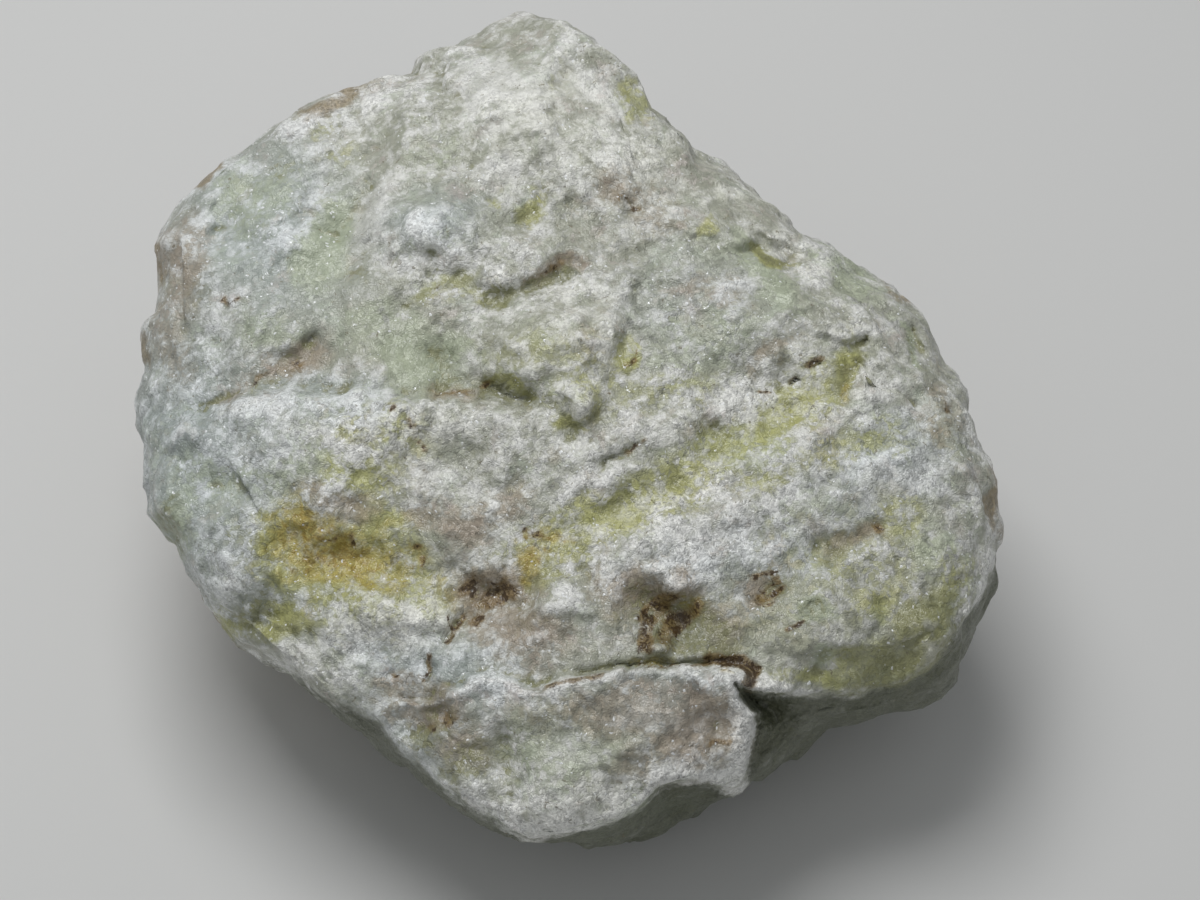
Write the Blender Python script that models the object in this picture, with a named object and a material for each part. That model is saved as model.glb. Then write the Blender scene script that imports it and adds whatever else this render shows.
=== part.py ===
"""Raw datolite: one rough, broken piece of granular datolite that rests on a flat break.

Metres, +Z up, origin under the middle of the stone on the surface it rests on. The broken
face looks up and to the front (-Y). The stone is a ball of quads whose points are carried to
the stone's form by one function: an outline as sighted along the face, a face that rises from
it with its ledges, hollows and lumps, and an underside of broken facets.
"""
import math
from itertools import product

import bmesh
import bpy
import numpy as np

MM = 0.001

# The sight line along which the face was measured, all in millimetres and radians.
SIGHT_ELEVATION = math.radians(55)
SIGHT_DISTANCE = 290.0
SIGHT_CENTRE = (2.68, -1.06, 22.0)
OUTLINE_CENTRE = (-2.5, 1.7)

# The outline of the stone across the sight line, from the right-hand side round by the top.
OUTLINE = (
    (33.4, -7.9), (32.6, -2.1), (31.1, 1.8), (29.8, 6.0), (28.5, 7.0), (27.4, 10.5), (25.4, 12.7),
    (21.5, 15.2), (19.4, 16.9), (16.5, 18.1), (12.3, 22.1), (7.6, 25.2), (4.2, 28.4), (3.0, 31.3),
    (0.0, 33.8), (-3.2, 35.6), (-6.2, 36.4), (-9.8, 34.8), (-11.7, 33.6), (-13.6, 33.6),
    (-15.3, 32.8), (-15.6, 31.4), (-19.3, 30.3), (-24.5, 28.9), (-29.9, 24.8), (-34.3, 21.2),
    (-37.1, 17.1), (-36.8, 13.2), (-36.9, 11.3), (-38.0, 10.4), (-37.8, 6.6), (-38.4, 3.8),
    (-38.0, -1.2), (-37.5, -5.3), (-35.2, -7.9), (-33.1, -12.1), (-29.8, -16.1), (-27.0, -17.2),
    (-22.5, -21.3), (-16.2, -26.2), (-9.8, -31.2), (-6.2, -32.5), (-0.9, -32.8), (3.6, -32.4),
    (9.5, -29.5), (12.5, -27.7), (16.9, -25.0), (19.3, -23.2), (24.4, -21.8), (28.7, -20.6),
    (29.8, -19.0), (30.2, -16.8), (31.6, -14.0), (33.0, -11.2),
)

# The bulk of the stone.
FACE_LEAN = 0.30
FACE_RISE = 11.0
FACE_ROUNDING = 0.55
RIM_CROWDING = 0.85
UNDERSIDE_DEPTH = 27.0
UNDERSIDE_ROUNDING = 1.15

# The rim: how far its corners wander round on the face and the underside, how much it swells along
# the sight line, and the angles over which its corners and its height are evened on the underside.
CORNER_WANDER = 0.16
WANDER_SIZE = 0.3
RIM_SWELL = 1.8
RIM_SWELL_SIZE = 11.0
RIM_SWELL_POWER = 6
RIM_EVENING = (-0.3, -0.15, 0.0, 0.15, 0.3)

# The shaded side at the lower right: its upper edge, its slope, and the slab's overhang there with
# the width of its edge and the stretches of x over which it begins and ends.
SIDE_EDGE = (
    (-27.0, -17.2), (-23.6, -19.6), (-20.0, -21.7), (-18.3, -22.4), (-15.8, -25.2), (-12.7, -28.0),
    (-9.3, -30.2), (-5.8, -32.2), (-1.5, -31.3), (1.4, -30.3), (3.2, -29.3), (4.8, -27.6), (6.4, -27.3),
    (9.0, -27.5), (10.7, -28.2), (11.9, -27.8), (12.1, -25.6), (12.8, -23.2), (12.7, -22.2),
    (11.4, -20.7), (11.0, -19.2), (13.0, -19.9), (16.5, -20.2), (21.7, -20.0), (25.2, -19.2),
    (27.2, -18.0), (28.4, -16.2), (30.0, -14.0), (32.0, -11.6), (33.0, -8.0), (35.0, -2.0),
)
SIDE_CORNERS = ((60.0, -2.0), (60.0, -60.0), (-27.0, -60.0))
SIDE_SLOPE = 1.9
SLAB_DROP = 3.6
SLAB_EDGE = 1.0
SLAB_RUN = (-6.0, 8.0)
SLAB_END = (12.8, 17.0)

# Broken facets of the hidden sides: the direction each one faces and its distance from the middle.
HIDDEN_FACETS = (
    ((-0.55, 0.72, 0.25), 35.0),
    ((0.50, 0.80, 0.10), 29.5),
    ((0.95, 0.20, -0.25), 31.0),
    ((-0.93, -0.10, -0.35), 31.5),
    ((-0.45, -0.62, -0.65), 25.5),
    ((0.35, -0.55, -0.75), 26.0),
    ((0.10, 0.75, -0.65), 27.0),
)
MIDDLE = (0.0, 1.0, 20.0)

# Widths over which one form gives way to the next, as shares of the way from the rim, and in
# millimetres for the relief at the edge of the shaded side.
FACE_FADE = 0.25
HIDDEN_FADE = 0.3
FACET_FADE = 0.5
SHADE_FADE = 0.8

# A groove's depth at its ends as a share of the full depth, how quickly it deepens from there, and
# the share of a ledge's path over which it fades at either end.
GROOVE_END = 0.35
GROOVE_DEEPENING = 2.6
LEDGE_END = 0.12

# Broken texture: how much the levels of its chips differ, how sharply one gives way to the next,
# and how near to its cell's edge a chip's centre may lie.
CHIP_LEVEL = 0.12
CHIP_SHARPNESS = 10.0
CHIP_MARGIN = 0.1

# Roughness: the size of its broken facets, chips and slow swell and how high each stands, the bend
# that keeps them from lying in straight rows, and how much of it the hidden facets take.
FACET_SIZE = 9.0
FACET_HEIGHT = 0.65
CHIP_SIZE = 4.2
CHIP_HEIGHT = 0.4
SWELL_SIZE = 14.0
SWELL_HEIGHT = 0.3
BEND_SIZE = 4.0
BEND = 0.8
RAGGED_SIZE = 2.8
RAGGED = 0.8
HIDDEN_ROUGHNESS = 0.8

# Seeds of the repeatable random numbers.
WANDER_SEED = 11
RIM_SEED = 15
RAGGED_SEEDS = (21, 31)
BEND_SEEDS = (51, 52, 53)
FACET_SEED = 61
SWELL_SEED = 71
CHIP_SEED = 81

# Cuts across each side of the cube that becomes the ball, the triangles left after thinning, the
# height in millimetres under which a point counts as part of the flat base, the angle between
# faces that reads as a broken edge, and a length too small to divide by.
BALL_CUTS = 63
STONE_TRIANGLES = 9200
BASE_SNAP = 0.03
SHARP_ANGLE = math.radians(35)
TINY = 1e-6

# The stone's own colour and gloss.
STONE_COLOUR = (0.60, 0.62, 0.52, 1.0)
STONE_ROUGHNESS = 0.55


def lattice_random(i, j, k, seed):
    """A repeatable number from 0 to 1 for each whole-number place: its indices are mixed bit by bit."""
    n = (i * 73856093) ^ (j * 19349663) ^ (k * 83492791) ^ (seed * 2654435761)
    n = n & 0xFFFFFFFF
    n = ((n ^ (n >> 16)) * 0x45D9F3B) & 0xFFFFFFFF
    n = ((n ^ (n >> 16)) * 0x45D9F3B) & 0xFFFFFFFF
    return (n ^ (n >> 16)) / 4294967295.0


def soft_noise(points, size, seed):
    """Smooth random field from -1 to 1: random values at the corners of cubes of one size,
    blended along each axis by the curve 3t^2 - 2t^3."""
    scaled = points / size
    base = np.floor(scaled).astype(np.int64)
    t = scaled - base
    t = t * t * (3 - 2 * t)
    total = np.zeros(len(points))
    for corner in product((0, 1), repeat=3):
        weight = np.prod(np.where(corner, t, 1 - t), axis=1)
        total += weight * lattice_random(*(base + corner).T, seed)
    return 2 * total - 1


def layered_noise(points, size, seed, layers=4):
    """Soft noise summed over layers, each half the size and half the strength of the last."""
    return sum(soft_noise(points, size / 2 ** n, seed + n) / 2 ** n for n in range(layers))


def chipped(points, size, seed):
    """Broken facets from about -1 to 1: space is parted among scattered cell centres, and in each
    cell the surface is a plane of the cell's own level and tilt. Where cells meet, their planes are
    blended by weights exp(-sharpness * distance^2), so that each edge is a short slope."""
    scaled = points / size
    base = np.floor(scaled).astype(np.int64)
    total = np.zeros(len(points))
    weights = np.full(len(points), 1e-12)
    for offset in product((-1, 0, 1), repeat=3):
        cell = (base + offset).T
        centre = [CHIP_MARGIN + (1 - 2 * CHIP_MARGIN) * lattice_random(*cell, seed + n) for n in range(3)]
        gap = [scaled[:, n] - cell[n] - centre[n] for n in range(3)]
        tilt = [2 * lattice_random(*cell, seed + 5 + n) - 1 for n in range(3)]
        plane = CHIP_LEVEL * (2 * lattice_random(*cell, seed + 9) - 1) + sum(g * t for g, t in zip(gap, tilt))
        weight = np.exp(-CHIP_SHARPNESS * (gap[0] ** 2 + gap[1] ** 2 + gap[2] ** 2))
        total += weight * plane
        weights += weight
    return total / weights


def smooth_step(value, low, high):
    """0 below low, 1 above high, and the curve 3t^2 - 2t^3 between."""
    t = np.clip((value - low) / (high - low), 0, 1)
    return t * t * (3 - 2 * t)


def path_distance(x, y, path):
    """Distance from each place to a path of straight runs, the signed side (positive on the left
    of the path's direction), and how far along the path the nearest spot lies, from 0 to 1."""
    nearest = np.full(x.shape, 1e9)
    side = np.zeros(x.shape)
    along = np.zeros(x.shape)
    lengths = [math.dist(a, b) for a, b in zip(path, path[1:])]
    passed = 0.0
    for (ax, ay), (bx, by), length in zip(path, path[1:], lengths):
        dx, dy = (bx - ax) / length, (by - ay) / length
        reach = np.clip((x - ax) * dx + (y - ay) * dy, 0, length)
        gap_x, gap_y = x - ax - reach * dx, y - ay - reach * dy
        distance = np.hypot(gap_x, gap_y)
        closer = distance < nearest
        side = np.where(closer, dx * gap_y - dy * gap_x, side)
        along = np.where(closer, (passed + reach) / sum(lengths), along)
        nearest = np.where(closer, distance, nearest)
        passed += length
    return nearest, np.where(side >= 0, nearest, -nearest), along


def inside(x, y, corners):
    """True where a place lies inside a closed outline: a ray to the right crosses it an odd
    number of times."""
    result = np.zeros(x.shape, bool)
    for (ax, ay), (bx, by) in zip(corners, corners[1:] + corners[:1]):
        if ay != by:
            crosses = (ay > y) != (by > y)
            result ^= crosses & (x < ax + (y - ay) * (bx - ax) / (by - ay))
    return result


def groove(x, y, path, width, depth):
    """A groove along a path: minus its depth times exp(-(distance / width)^2), shallower at its ends."""
    distance, _, along = path_distance(x, y, path)
    ends = np.minimum(1, GROOVE_END + GROOVE_DEEPENING * np.minimum(along, 1 - along))
    return -depth * ends * np.exp(-(distance / width) ** 2)


def ridge(x, y, path, width, height):
    """A ridge along a path, as a groove turned over."""
    return -groove(x, y, path, width, height)


def ledge(x, y, path, drop, edge, reach):
    """A step along a path: the left side stands up by the drop within the edge's width, and the
    rise dies away over the reach; it fades at the path's two ends."""
    _, side, along = path_distance(x, y, path)
    ends = smooth_step(np.minimum(along, 1 - along), 0.0, LEDGE_END)
    return drop * ends * smooth_step(side, -edge, edge) * np.exp(-np.maximum(side, 0) / reach)


def lump(x, y, place, radii, turn, height, flatness=1.0):
    """A rounded rise, or a hollow where the height is negative: height times
    exp(-(d^2)^flatness), where d is the distance in units of the two radii."""
    cos_turn, sin_turn = math.cos(math.radians(turn)), math.sin(math.radians(turn))
    dx, dy = x - place[0], y - place[1]
    u = (dx * cos_turn + dy * sin_turn) / radii[0]
    v = (dy * cos_turn - dx * sin_turn) / radii[1]
    return height * np.exp(-(u * u + v * v) ** flatness)


def large_relief(x, y):
    """Ledges, hollows and lumps of the broken face a step away, summed, in millimetres."""
    # Top horn and upper left shoulder
    z = ledge(x, y, ((-21.2, 16.5), (-18.8, 22.5), (-16.7, 27.5), (-15.4, 33.0)), -1.6, 1.2, 9.0)
    z += lump(x, y, (-22.0, 16.8), (2.4, 4.0), -20, -1.1)
    z += lump(x, y, (-14.6, 18.9), (4.4, 2.6), 12, 1.9, 1.4)
    z += lump(x, y, (-31.0, 19.5), (4.5, 3.0), 40, -1.2)
    z += lump(x, y, (-29.0, 11.5), (4.0, 3.0), 0, 0.9)
    z += lump(x, y, (-5.5, 28.5), (5.0, 4.0), 30, 1.4)
    z += lump(x, y, (1.8, 24.0), (3.2, 2.6), 0, 1.0)
    z += groove(x, y, ((-7.4, 18.6), (-4.2, 21.5)), 1.0, 0.8)
    z += groove(x, y, ((-3.9, 29.4), (-2.1, 32.2)), 0.8, 0.8)
    # Upper pit and the grooves either side of it
    z += groove(x, y, ((-16.5, 11.8), (-11.2, 15.2)), 1.1, 0.9)
    z += groove(x, y, ((-11.6, 13.4), (-9.2, 12.8), (-6.0, 13.6), (-3.3, 14.4), (-0.6, 15.2)), 1.1, 1.1)
    # Main undercut, the creamy lump above it and the tongue beside it
    z += lump(x, y, (-15.0, 8.0), (4.6, 2.6), -20, -0.8)
    z += groove(x, y, ((-17.0, 8.2), (-13.3, 6.2), (-9.8, 5.6), (-4.2, 5.2)), 1.1, 2.2)
    z += lump(x, y, (-5.2, 9.0), (6.6, 2.7), 12, 2.2, 1.5)
    z += ridge(x, y, ((-1.8, 8.0), (-1.6, 5.0), (-2.2, 3.2)), 1.9, 1.5)
    tongue_side = ((-2.3, 1.6), (-0.6, 3.4), (1.0, 5.2), (1.9, 9.5), (2.1, 12.8), (3.6, 15.6))
    z += ledge(x, y, tongue_side, 0.8, 0.8, 6.0)
    z += lump(x, y, (-2.4, 1.9), (1.1, 0.9), 20, -1.1)
    # Brow of the lower block and the pockets over its left end
    brow = ((-4.2, 1.4), (-8.3, 3.6), (-15.0, 4.6), (-21.7, 4.4), (-27.5, 4.6), (-32.1, 3.6), (-37.0, 0.2))
    z += ledge(x, y, brow, 1.7, 0.8, 9.0)
    z += lump(x, y, (-31.8, 3.9), (2.0, 1.1), 30, -0.8)
    z += lump(x, y, (-25.0, 7.6), (2.3, 1.5), 25, -0.9)
    z += lump(x, y, (-23.0, 1.0), (6.0, 2.4), 0, 0.7)
    # Left end of the lower block: a white slab, the stained hollow and the lump over it
    z += lump(x, y, (-30.4, -8.3), (3.3, 3.6), 0, 1.5, 1.6)
    z += groove(x, y, ((-27.0, -9.3), (-22.5, -8.9), (-16.7, -9.8), (-12.0, -11.2)), 2.0, 1.5)
    z += lump(x, y, (-21.7, -4.4), (3.2, 1.9), 0, 1.0, 1.3)
    z += groove(x, y, ((-29.0, -12.8), (-26.0, -14.5)), 1.4, 1.2)
    z += lump(x, y, (-19.5, -13.8), (5.2, 2.4), 10, 1.0, 1.3)
    # Purple pit and the lilac lump beside it
    z += lump(x, y, (-8.6, -12.2), (3.2, 2.1), 15, -1.9)
    z += lump(x, y, (-3.9, -12.8), (2.2, 1.9), 0, 1.3, 1.3)
    z += lump(x, y, (-9.0, -5.5), (4.0, 2.2), 0, 0.6)
    # Olive valley, the white ridge under it and the grey hollow at its right
    valley = ((-5.4, -9.4), (0.0, -5.4), (6.7, -2.6), (9.7, 0.0), (13.3, 1.6), (16.9, 3.8), (20.6, 6.6))
    z += groove(x, y, valley, 2.3, 0.9)
    crest = ((-2.0, -10.8), (2.5, -8.0), (8.3, -5.2), (13.3, -5.0), (17.7, -4.6), (22.0, -2.4), (29.0, -1.2))
    z += ridge(x, y, crest, 1.9, 0.4)
    z += groove(x, y, ((17.4, -9.0), (19.6, -7.8), (22.5, -6.2)), 1.1, 0.9)
    z += ridge(x, y, ((21.5, -3.3), (23.3, -0.9), (27.1, 0.1)), 0.9, 0.8)
    # Right shoulder: the wedge, the curved groove and the sliver at the edge
    z += ledge(x, y, ((20.6, 3.0), (21.4, 6.2), (22.4, 9.6)), -1.3, 0.4, 3.5)
    z += groove(x, y, ((10.6, 16.5), (13.1, 16.9), (15.4, 16.3), (17.2, 15.0)), 0.8, 1.3)
    z += groove(x, y, ((25.2, 10.6), (26.5, 7.4)), 0.7, 1.3)
    z += lump(x, y, (12.0, 10.5), (7.5, 2.6), -25, 0.9)
    z += lump(x, y, (24.5, -0.5), (3.0, 2.0), 20, 0.7)
    z += lump(x, y, (28.5, -8.5), (2.5, 3.5), 0, 0.8)
    # Brown hollow and the white lumps standing in it
    z += lump(x, y, (5.4, -13.9), (3.0, 2.0), -12, -1.8, 1.4)
    z += lump(x, y, (4.6, -15.7), (1.1, 0.9), 0, 1.6)
    z += lump(x, y, (5.7, -10.9), (1.2, 0.9), 0, 1.2)
    z += lump(x, y, (14.2, -11.8), (2.2, 1.6), 20, -1.0)
    # The slab over the lower edge: its raised lip, the pit at its left and its folds
    lip = ((17.0, -19.6), (11.8, -18.1), (3.3, -18.2), (-4.6, -19.8), (-10.0, -19.0), (-18.5, -21.5))
    z += ledge(x, y, lip, 1.9, 0.5, 10.0)
    z += lump(x, y, (-14.4, -21.8), (2.5, 1.6), 20, -1.7)
    z += lump(x, y, (9.4, -22.8), (1.8, 1.6), 0, -0.8)
    z += lump(x, y, (-3.5, -28.5), (3.6, 3.0), 0, 1.1, 1.3)
    z += groove(x, y, ((-9.5, -22.0), (-7.5, -28.5)), 1.5, 1.1)
    return z


def beyond_edge(x, y):
    """How far a place lies past the face's edge on the shaded side; 0 on the face."""
    distance, _, _ = path_distance(x, y, SIDE_EDGE)
    return np.where(inside(x, y, SIDE_EDGE + SIDE_CORNERS), distance, 0.0)


def bulk_height(x, y):
    """Height along the sight line of the plane the rim lies near: it falls back towards the top,
    steps down past the slab's edge and slopes away over the shaded side."""
    beyond = beyond_edge(x, y)
    overhang = SLAB_DROP * (1 - smooth_step(x, *SLAB_END)) * smooth_step(x, *SLAB_RUN)
    fall = overhang * smooth_step(beyond, 0.0, SLAB_EDGE) + SIDE_SLOPE * beyond
    return -FACE_LEAN * (y - OUTLINE_CENTRE[1]) - fall


def rim_radius(angle):
    """Distance from the outline's centre to the outline at each angle, straight between its points."""
    offsets = np.array(OUTLINE) - OUTLINE_CENTRE
    angles = np.arctan2(offsets[:, 1], offsets[:, 0])
    return np.interp(angle, angles, np.hypot(offsets[:, 0], offsets[:, 1]), period=2 * math.pi)


def rim_height(angle):
    """Height of the rim along the sight line at each angle round the outline's centre."""
    radius = rim_radius(angle)
    return bulk_height(OUTLINE_CENTRE[0] + radius * np.cos(angle), OUTLINE_CENTRE[1] + radius * np.sin(angle))


def evened(measure, angle):
    """A measure of the rim averaged over a few nearby angles, which rounds off its corners."""
    return sum(measure(angle + step) for step in RIM_EVENING) / len(RIM_EVENING)


def sight_to_world(x, y, z):
    """Places given across and along the sight line to places on the floor's axes: a sighted offset
    shrinks as it nears the eye, by 1 - z / distance, and the sight axes then turn to +Z up."""
    shrink = 1 - z / SIGHT_DISTANCE
    x, y = x * shrink, y * shrink
    sin_e, cos_e = math.sin(SIGHT_ELEVATION), math.cos(SIGHT_ELEVATION)
    return np.column_stack((x, sin_e * y - cos_e * z, cos_e * y + sin_e * z)) + SIGHT_CENTRE


def coarse_roughness(place):
    """Broken facets about 9 and 4 mm across over a slow swell, in millimetres."""
    bent = place + BEND * np.column_stack([soft_noise(place, BEND_SIZE, seed) for seed in BEND_SEEDS])
    facets = FACET_HEIGHT * chipped(bent, FACET_SIZE, FACET_SEED)
    chips = CHIP_HEIGHT * chipped(bent, CHIP_SIZE, CHIP_SEED)
    return facets + chips + SWELL_HEIGHT * layered_noise(place, SWELL_SIZE, SWELL_SEED, 3)


def stone_points(ball):
    """Carries the points of a unit ball to the stone. The ball's angle round the sight line picks
    the outline's direction, and its angle from it runs over the face, the rim and the underside."""
    x, y, z = ball.T
    tilt = np.arccos(np.clip(z, -1, 1))
    turn = np.arctan2(y, x)
    spread = np.sin(tilt) ** RIM_CROWDING
    front = np.clip(np.cos(tilt), 0, 1)
    back = np.clip(-np.cos(tilt), 0, 1)

    # The face and the underside, as sighted; the outline's corners wander away from the rim
    off_rim = smooth_step(front + back, 0.0, HIDDEN_FADE)
    wander = CORNER_WANDER * off_rim * layered_noise(ball, WANDER_SIZE, WANDER_SEED, 2)
    hidden = smooth_step(back, 0.0, HIDDEN_FADE)
    radius = rim_radius(turn + wander)
    radius = radius + hidden * (evened(rim_radius, turn + wander) - radius)
    rim_x = radius * np.cos(turn)
    rim_y = radius * np.sin(turn)
    sx = OUTLINE_CENTRE[0] + spread * rim_x
    sy = OUTLINE_CENTRE[1] + spread * rim_y
    under = rim_height(turn) + hidden * (evened(rim_height, turn) - rim_height(turn))
    sz = np.where(back > 0, under * spread, bulk_height(sx, sy) + FACE_RISE * front ** FACE_ROUNDING)
    rim_place = np.column_stack((rim_x, rim_y, 0 * turn))
    sz = sz + RIM_SWELL * spread ** RIM_SWELL_POWER * layered_noise(rim_place, RIM_SWELL_SIZE, RIM_SEED, 3)
    down = UNDERSIDE_DEPTH * back ** UNDERSIDE_ROUNDING
    sy = sy - math.cos(SIGHT_ELEVATION) * down
    sz = sz - math.sin(SIGHT_ELEVATION) * down

    # Nothing stands out past the outline
    off_x, off_y = sx - OUTLINE_CENTRE[0], sy - OUTLINE_CENTRE[1]
    reach = np.hypot(off_x, off_y)
    limit = rim_radius(np.arctan2(off_y, off_x))
    held = np.minimum(1, limit / np.maximum(reach, TINY))
    sx, sy = OUTLINE_CENTRE[0] + off_x * held, OUTLINE_CENTRE[1] + off_y * held

    # Relief of the face, which dies away at the rim
    place = sight_to_world(sx, sy, sz)
    shift = [RAGGED * layered_noise(place, RAGGED_SIZE, seed, 3) for seed in RAGGED_SEEDS]
    on_face = smooth_step(front, 0.0, FACE_FADE)
    lit = 1 - smooth_step(beyond_edge(sx, sy), 0.0, SHADE_FADE)
    sz = sz + on_face * lit * large_relief(sx + shift[0], sy + shift[1])
    sz = sz + on_face * coarse_roughness(place)
    place = sight_to_world(sx, sy, sz)

    # Facets, roughness and the flat base of the hidden sides; the facets start from the rim itself
    near_rim = 1 - smooth_step(back, 0.0, FACET_FADE)
    from_middle = place - MIDDLE
    rough = coarse_roughness(place)
    swell = hidden * rough / np.maximum(np.linalg.norm(from_middle, axis=1), 1)
    from_middle = from_middle * (1 + swell)[:, None]
    radius = rim_radius(turn)
    rim_x, rim_y = radius * np.cos(turn), radius * np.sin(turn)
    rim_place = sight_to_world(OUTLINE_CENTRE[0] + rim_x, OUTLINE_CENTRE[1] + rim_y, rim_height(turn))
    for facing, distance in HIDDEN_FACETS:
        facing = np.array(facing) / np.linalg.norm(facing)
        outward = from_middle @ facing
        rim_over = np.maximum((rim_place - MIDDLE) @ facing - distance, 0)
        level = distance + HIDDEN_ROUGHNESS * rough + near_rim * rim_over
        held = np.where((back > 0) & (outward > level), level / np.maximum(outward, TINY), 1)
        from_middle = from_middle * held[:, None]
    below = -from_middle[:, 2] > MIDDLE[2]
    held = np.where(below, MIDDLE[2] / np.maximum(-from_middle[:, 2], TINY), 1)
    place = from_middle * held[:, None] + MIDDLE
    place[below, 2] = 0.0
    return place


def cube_mesh(cuts):
    """A cube cut into a grid on each side, which closes into a ball without crowded poles."""
    bm = bmesh.new()
    bmesh.ops.create_cube(bm, size=2.0)
    bmesh.ops.subdivide_edges(bm, edges=bm.edges[:], cuts=cuts, use_grid_fill=True)
    mesh = bpy.data.meshes.new("datolite_stone")
    bm.to_mesh(mesh)
    bm.free()
    return mesh


def read_points(mesh):
    """The mesh's points as rows of three numbers."""
    flat = np.empty(len(mesh.vertices) * 3)
    mesh.vertices.foreach_get("co", flat)
    return flat.reshape(-1, 3)


def make_stone():
    """The stone: the cube's points are pushed out to a ball, evenly spaced by a tangent, and carried
    to the stone's form, and the mesh is then thinned where it is flat."""
    mesh = cube_mesh(BALL_CUTS)
    cube = np.tan(read_points(mesh) * math.pi / 4)
    ball = cube / np.linalg.norm(cube, axis=1)[:, None]
    mesh.vertices.foreach_set("co", (stone_points(ball) * MM).ravel())
    mesh.update()
    stone = bpy.data.objects.new("datolite_stone", mesh)
    bpy.context.scene.collection.objects.link(stone)
    thin = stone.modifiers.new("Thin the flat parts", "DECIMATE")
    thin.ratio = STONE_TRIANGLES / (len(mesh.polygons) * 2)
    thin.use_collapse_triangulate = True
    thinned = bpy.data.meshes.new_from_object(stone.evaluated_get(bpy.context.evaluated_depsgraph_get()))
    stone.modifiers.remove(thin)
    points = read_points(thinned)
    points[points[:, 2] < BASE_SNAP * MM, 2] = 0.0
    thinned.vertices.foreach_set("co", points.ravel())
    thinned.update()
    stone.data = thinned
    bpy.data.meshes.remove(mesh)
    thinned.name = "datolite_stone"
    thinned.shade_smooth()
    thinned.set_sharp_from_angle(angle=SHARP_ANGLE)
    return stone


def stone_material():
    """Pale grey-green, slightly waxy datolite."""
    material = bpy.data.materials.new("datolite")
    material.use_nodes = True
    shader = material.node_tree.nodes["Principled BSDF"]
    shader.inputs["Base Color"].default_value = STONE_COLOUR
    shader.inputs["Roughness"].default_value = STONE_ROUGHNESS
    shader.inputs["Metallic"].default_value = 0.0
    material.diffuse_color = STONE_COLOUR
    return material


for old in list(bpy.data.objects):
    bpy.data.objects.remove(old)
make_stone().data.materials.append(stone_material())
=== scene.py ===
# %% [markdown]
# # A raw datolite stone
# Datolite is a pale green mineral that often grows as a mass of grains, like damp sugar. This
# stone is one broken lump of it: white where the grains are loose, grey-green and waxy where
# they have grown together, and stained yellow, lilac and brown along its hollows and cracks.
# The solid model gives the size and the main ledges. This script makes the surface afresh, much
# finer, from the same named sizes, and then colours it.

# %% Load the fixed frame
import math
from itertools import product

import bpy
import numpy as np
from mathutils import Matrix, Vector


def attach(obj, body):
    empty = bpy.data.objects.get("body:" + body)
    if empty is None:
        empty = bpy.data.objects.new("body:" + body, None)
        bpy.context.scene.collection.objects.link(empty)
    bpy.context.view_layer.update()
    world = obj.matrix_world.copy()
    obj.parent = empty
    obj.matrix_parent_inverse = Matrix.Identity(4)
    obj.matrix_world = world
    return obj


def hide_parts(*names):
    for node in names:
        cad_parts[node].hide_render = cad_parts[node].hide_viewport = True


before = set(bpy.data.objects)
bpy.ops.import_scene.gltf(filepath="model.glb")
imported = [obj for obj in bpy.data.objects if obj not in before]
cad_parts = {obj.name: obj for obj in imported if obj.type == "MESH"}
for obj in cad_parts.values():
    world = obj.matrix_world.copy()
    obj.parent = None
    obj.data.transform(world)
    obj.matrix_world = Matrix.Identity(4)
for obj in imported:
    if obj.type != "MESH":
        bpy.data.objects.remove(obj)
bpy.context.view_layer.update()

MM = 0.001
print("Nodes in the frame:", sorted(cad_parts))

# %% [markdown]
# ## Where we look from
# All shapes below are laid out as someone sees them who looks down at the broken face: x to the
# right, y up the picture and z towards the eye, in millimetres. A long lens 290 mm away sees
# 12 pixels to the millimetre. Making the camera first means that every later step can be judged
# from the same place.

# %% The sight line and the camera
SIGHT_ELEVATION = math.radians(55)
SIGHT_DISTANCE = 290.0
SIGHT_CENTRE = (2.68, -1.06, 22.0)
FRAME_WIDTH_MM = 100.0
SENSOR_WIDTH = 36.0

camera_data = bpy.data.cameras.new("camera")
camera_data.sensor_width = SENSOR_WIDTH
camera_data.lens = SENSOR_WIDTH * SIGHT_DISTANCE / FRAME_WIDTH_MM
camera_data.clip_start = 0.01
camera = bpy.data.objects.new("camera", camera_data)
bpy.context.scene.collection.objects.link(camera)
towards_eye = Vector((0, -math.cos(SIGHT_ELEVATION), math.sin(SIGHT_ELEVATION)))
camera.location = (Vector(SIGHT_CENTRE) + towards_eye * SIGHT_DISTANCE) * MM
camera.rotation_euler = (math.pi / 2 - SIGHT_ELEVATION, 0, 0)
bpy.context.scene.camera = camera
print("Lens in mm:", round(camera_data.lens, 1))

# %% [markdown]
# ## Randomness that repeats
# Broken rock needs irregular shapes, but the script must give the same stone every time. So the
# random numbers come from mixing the bits of whole-number places: the same place always gives
# the same number, and a whole array of places is worked out at once.

# %% Random numbers, soft noise and chips
CHIP_LEVEL = 0.12
CHIP_SHARPNESS = 10.0


def lattice_random(i, j, k, seed):
    """A repeatable number from 0 to 1 for each whole-number place: its indices are mixed bit by bit."""
    n = (i * 73856093) ^ (j * 19349663) ^ (k * 83492791) ^ (seed * 2654435761)
    n = n & 0xFFFFFFFF
    n = ((n ^ (n >> 16)) * 0x45D9F3B) & 0xFFFFFFFF
    n = ((n ^ (n >> 16)) * 0x45D9F3B) & 0xFFFFFFFF
    return (n ^ (n >> 16)) / 4294967295.0


def soft_noise(points, size, seed):
    """Smooth random field from -1 to 1: random values at the corners of cubes of one size,
    blended along each axis by the curve 3t^2 - 2t^3."""
    scaled = points / size
    base = np.floor(scaled).astype(np.int64)
    t = scaled - base
    t = t * t * (3 - 2 * t)
    total = np.zeros(len(points))
    for corner in product((0, 1), repeat=3):
        weight = np.prod(np.where(corner, t, 1 - t), axis=1)
        total += weight * lattice_random(*(base + corner).T, seed)
    return 2 * total - 1


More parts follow.
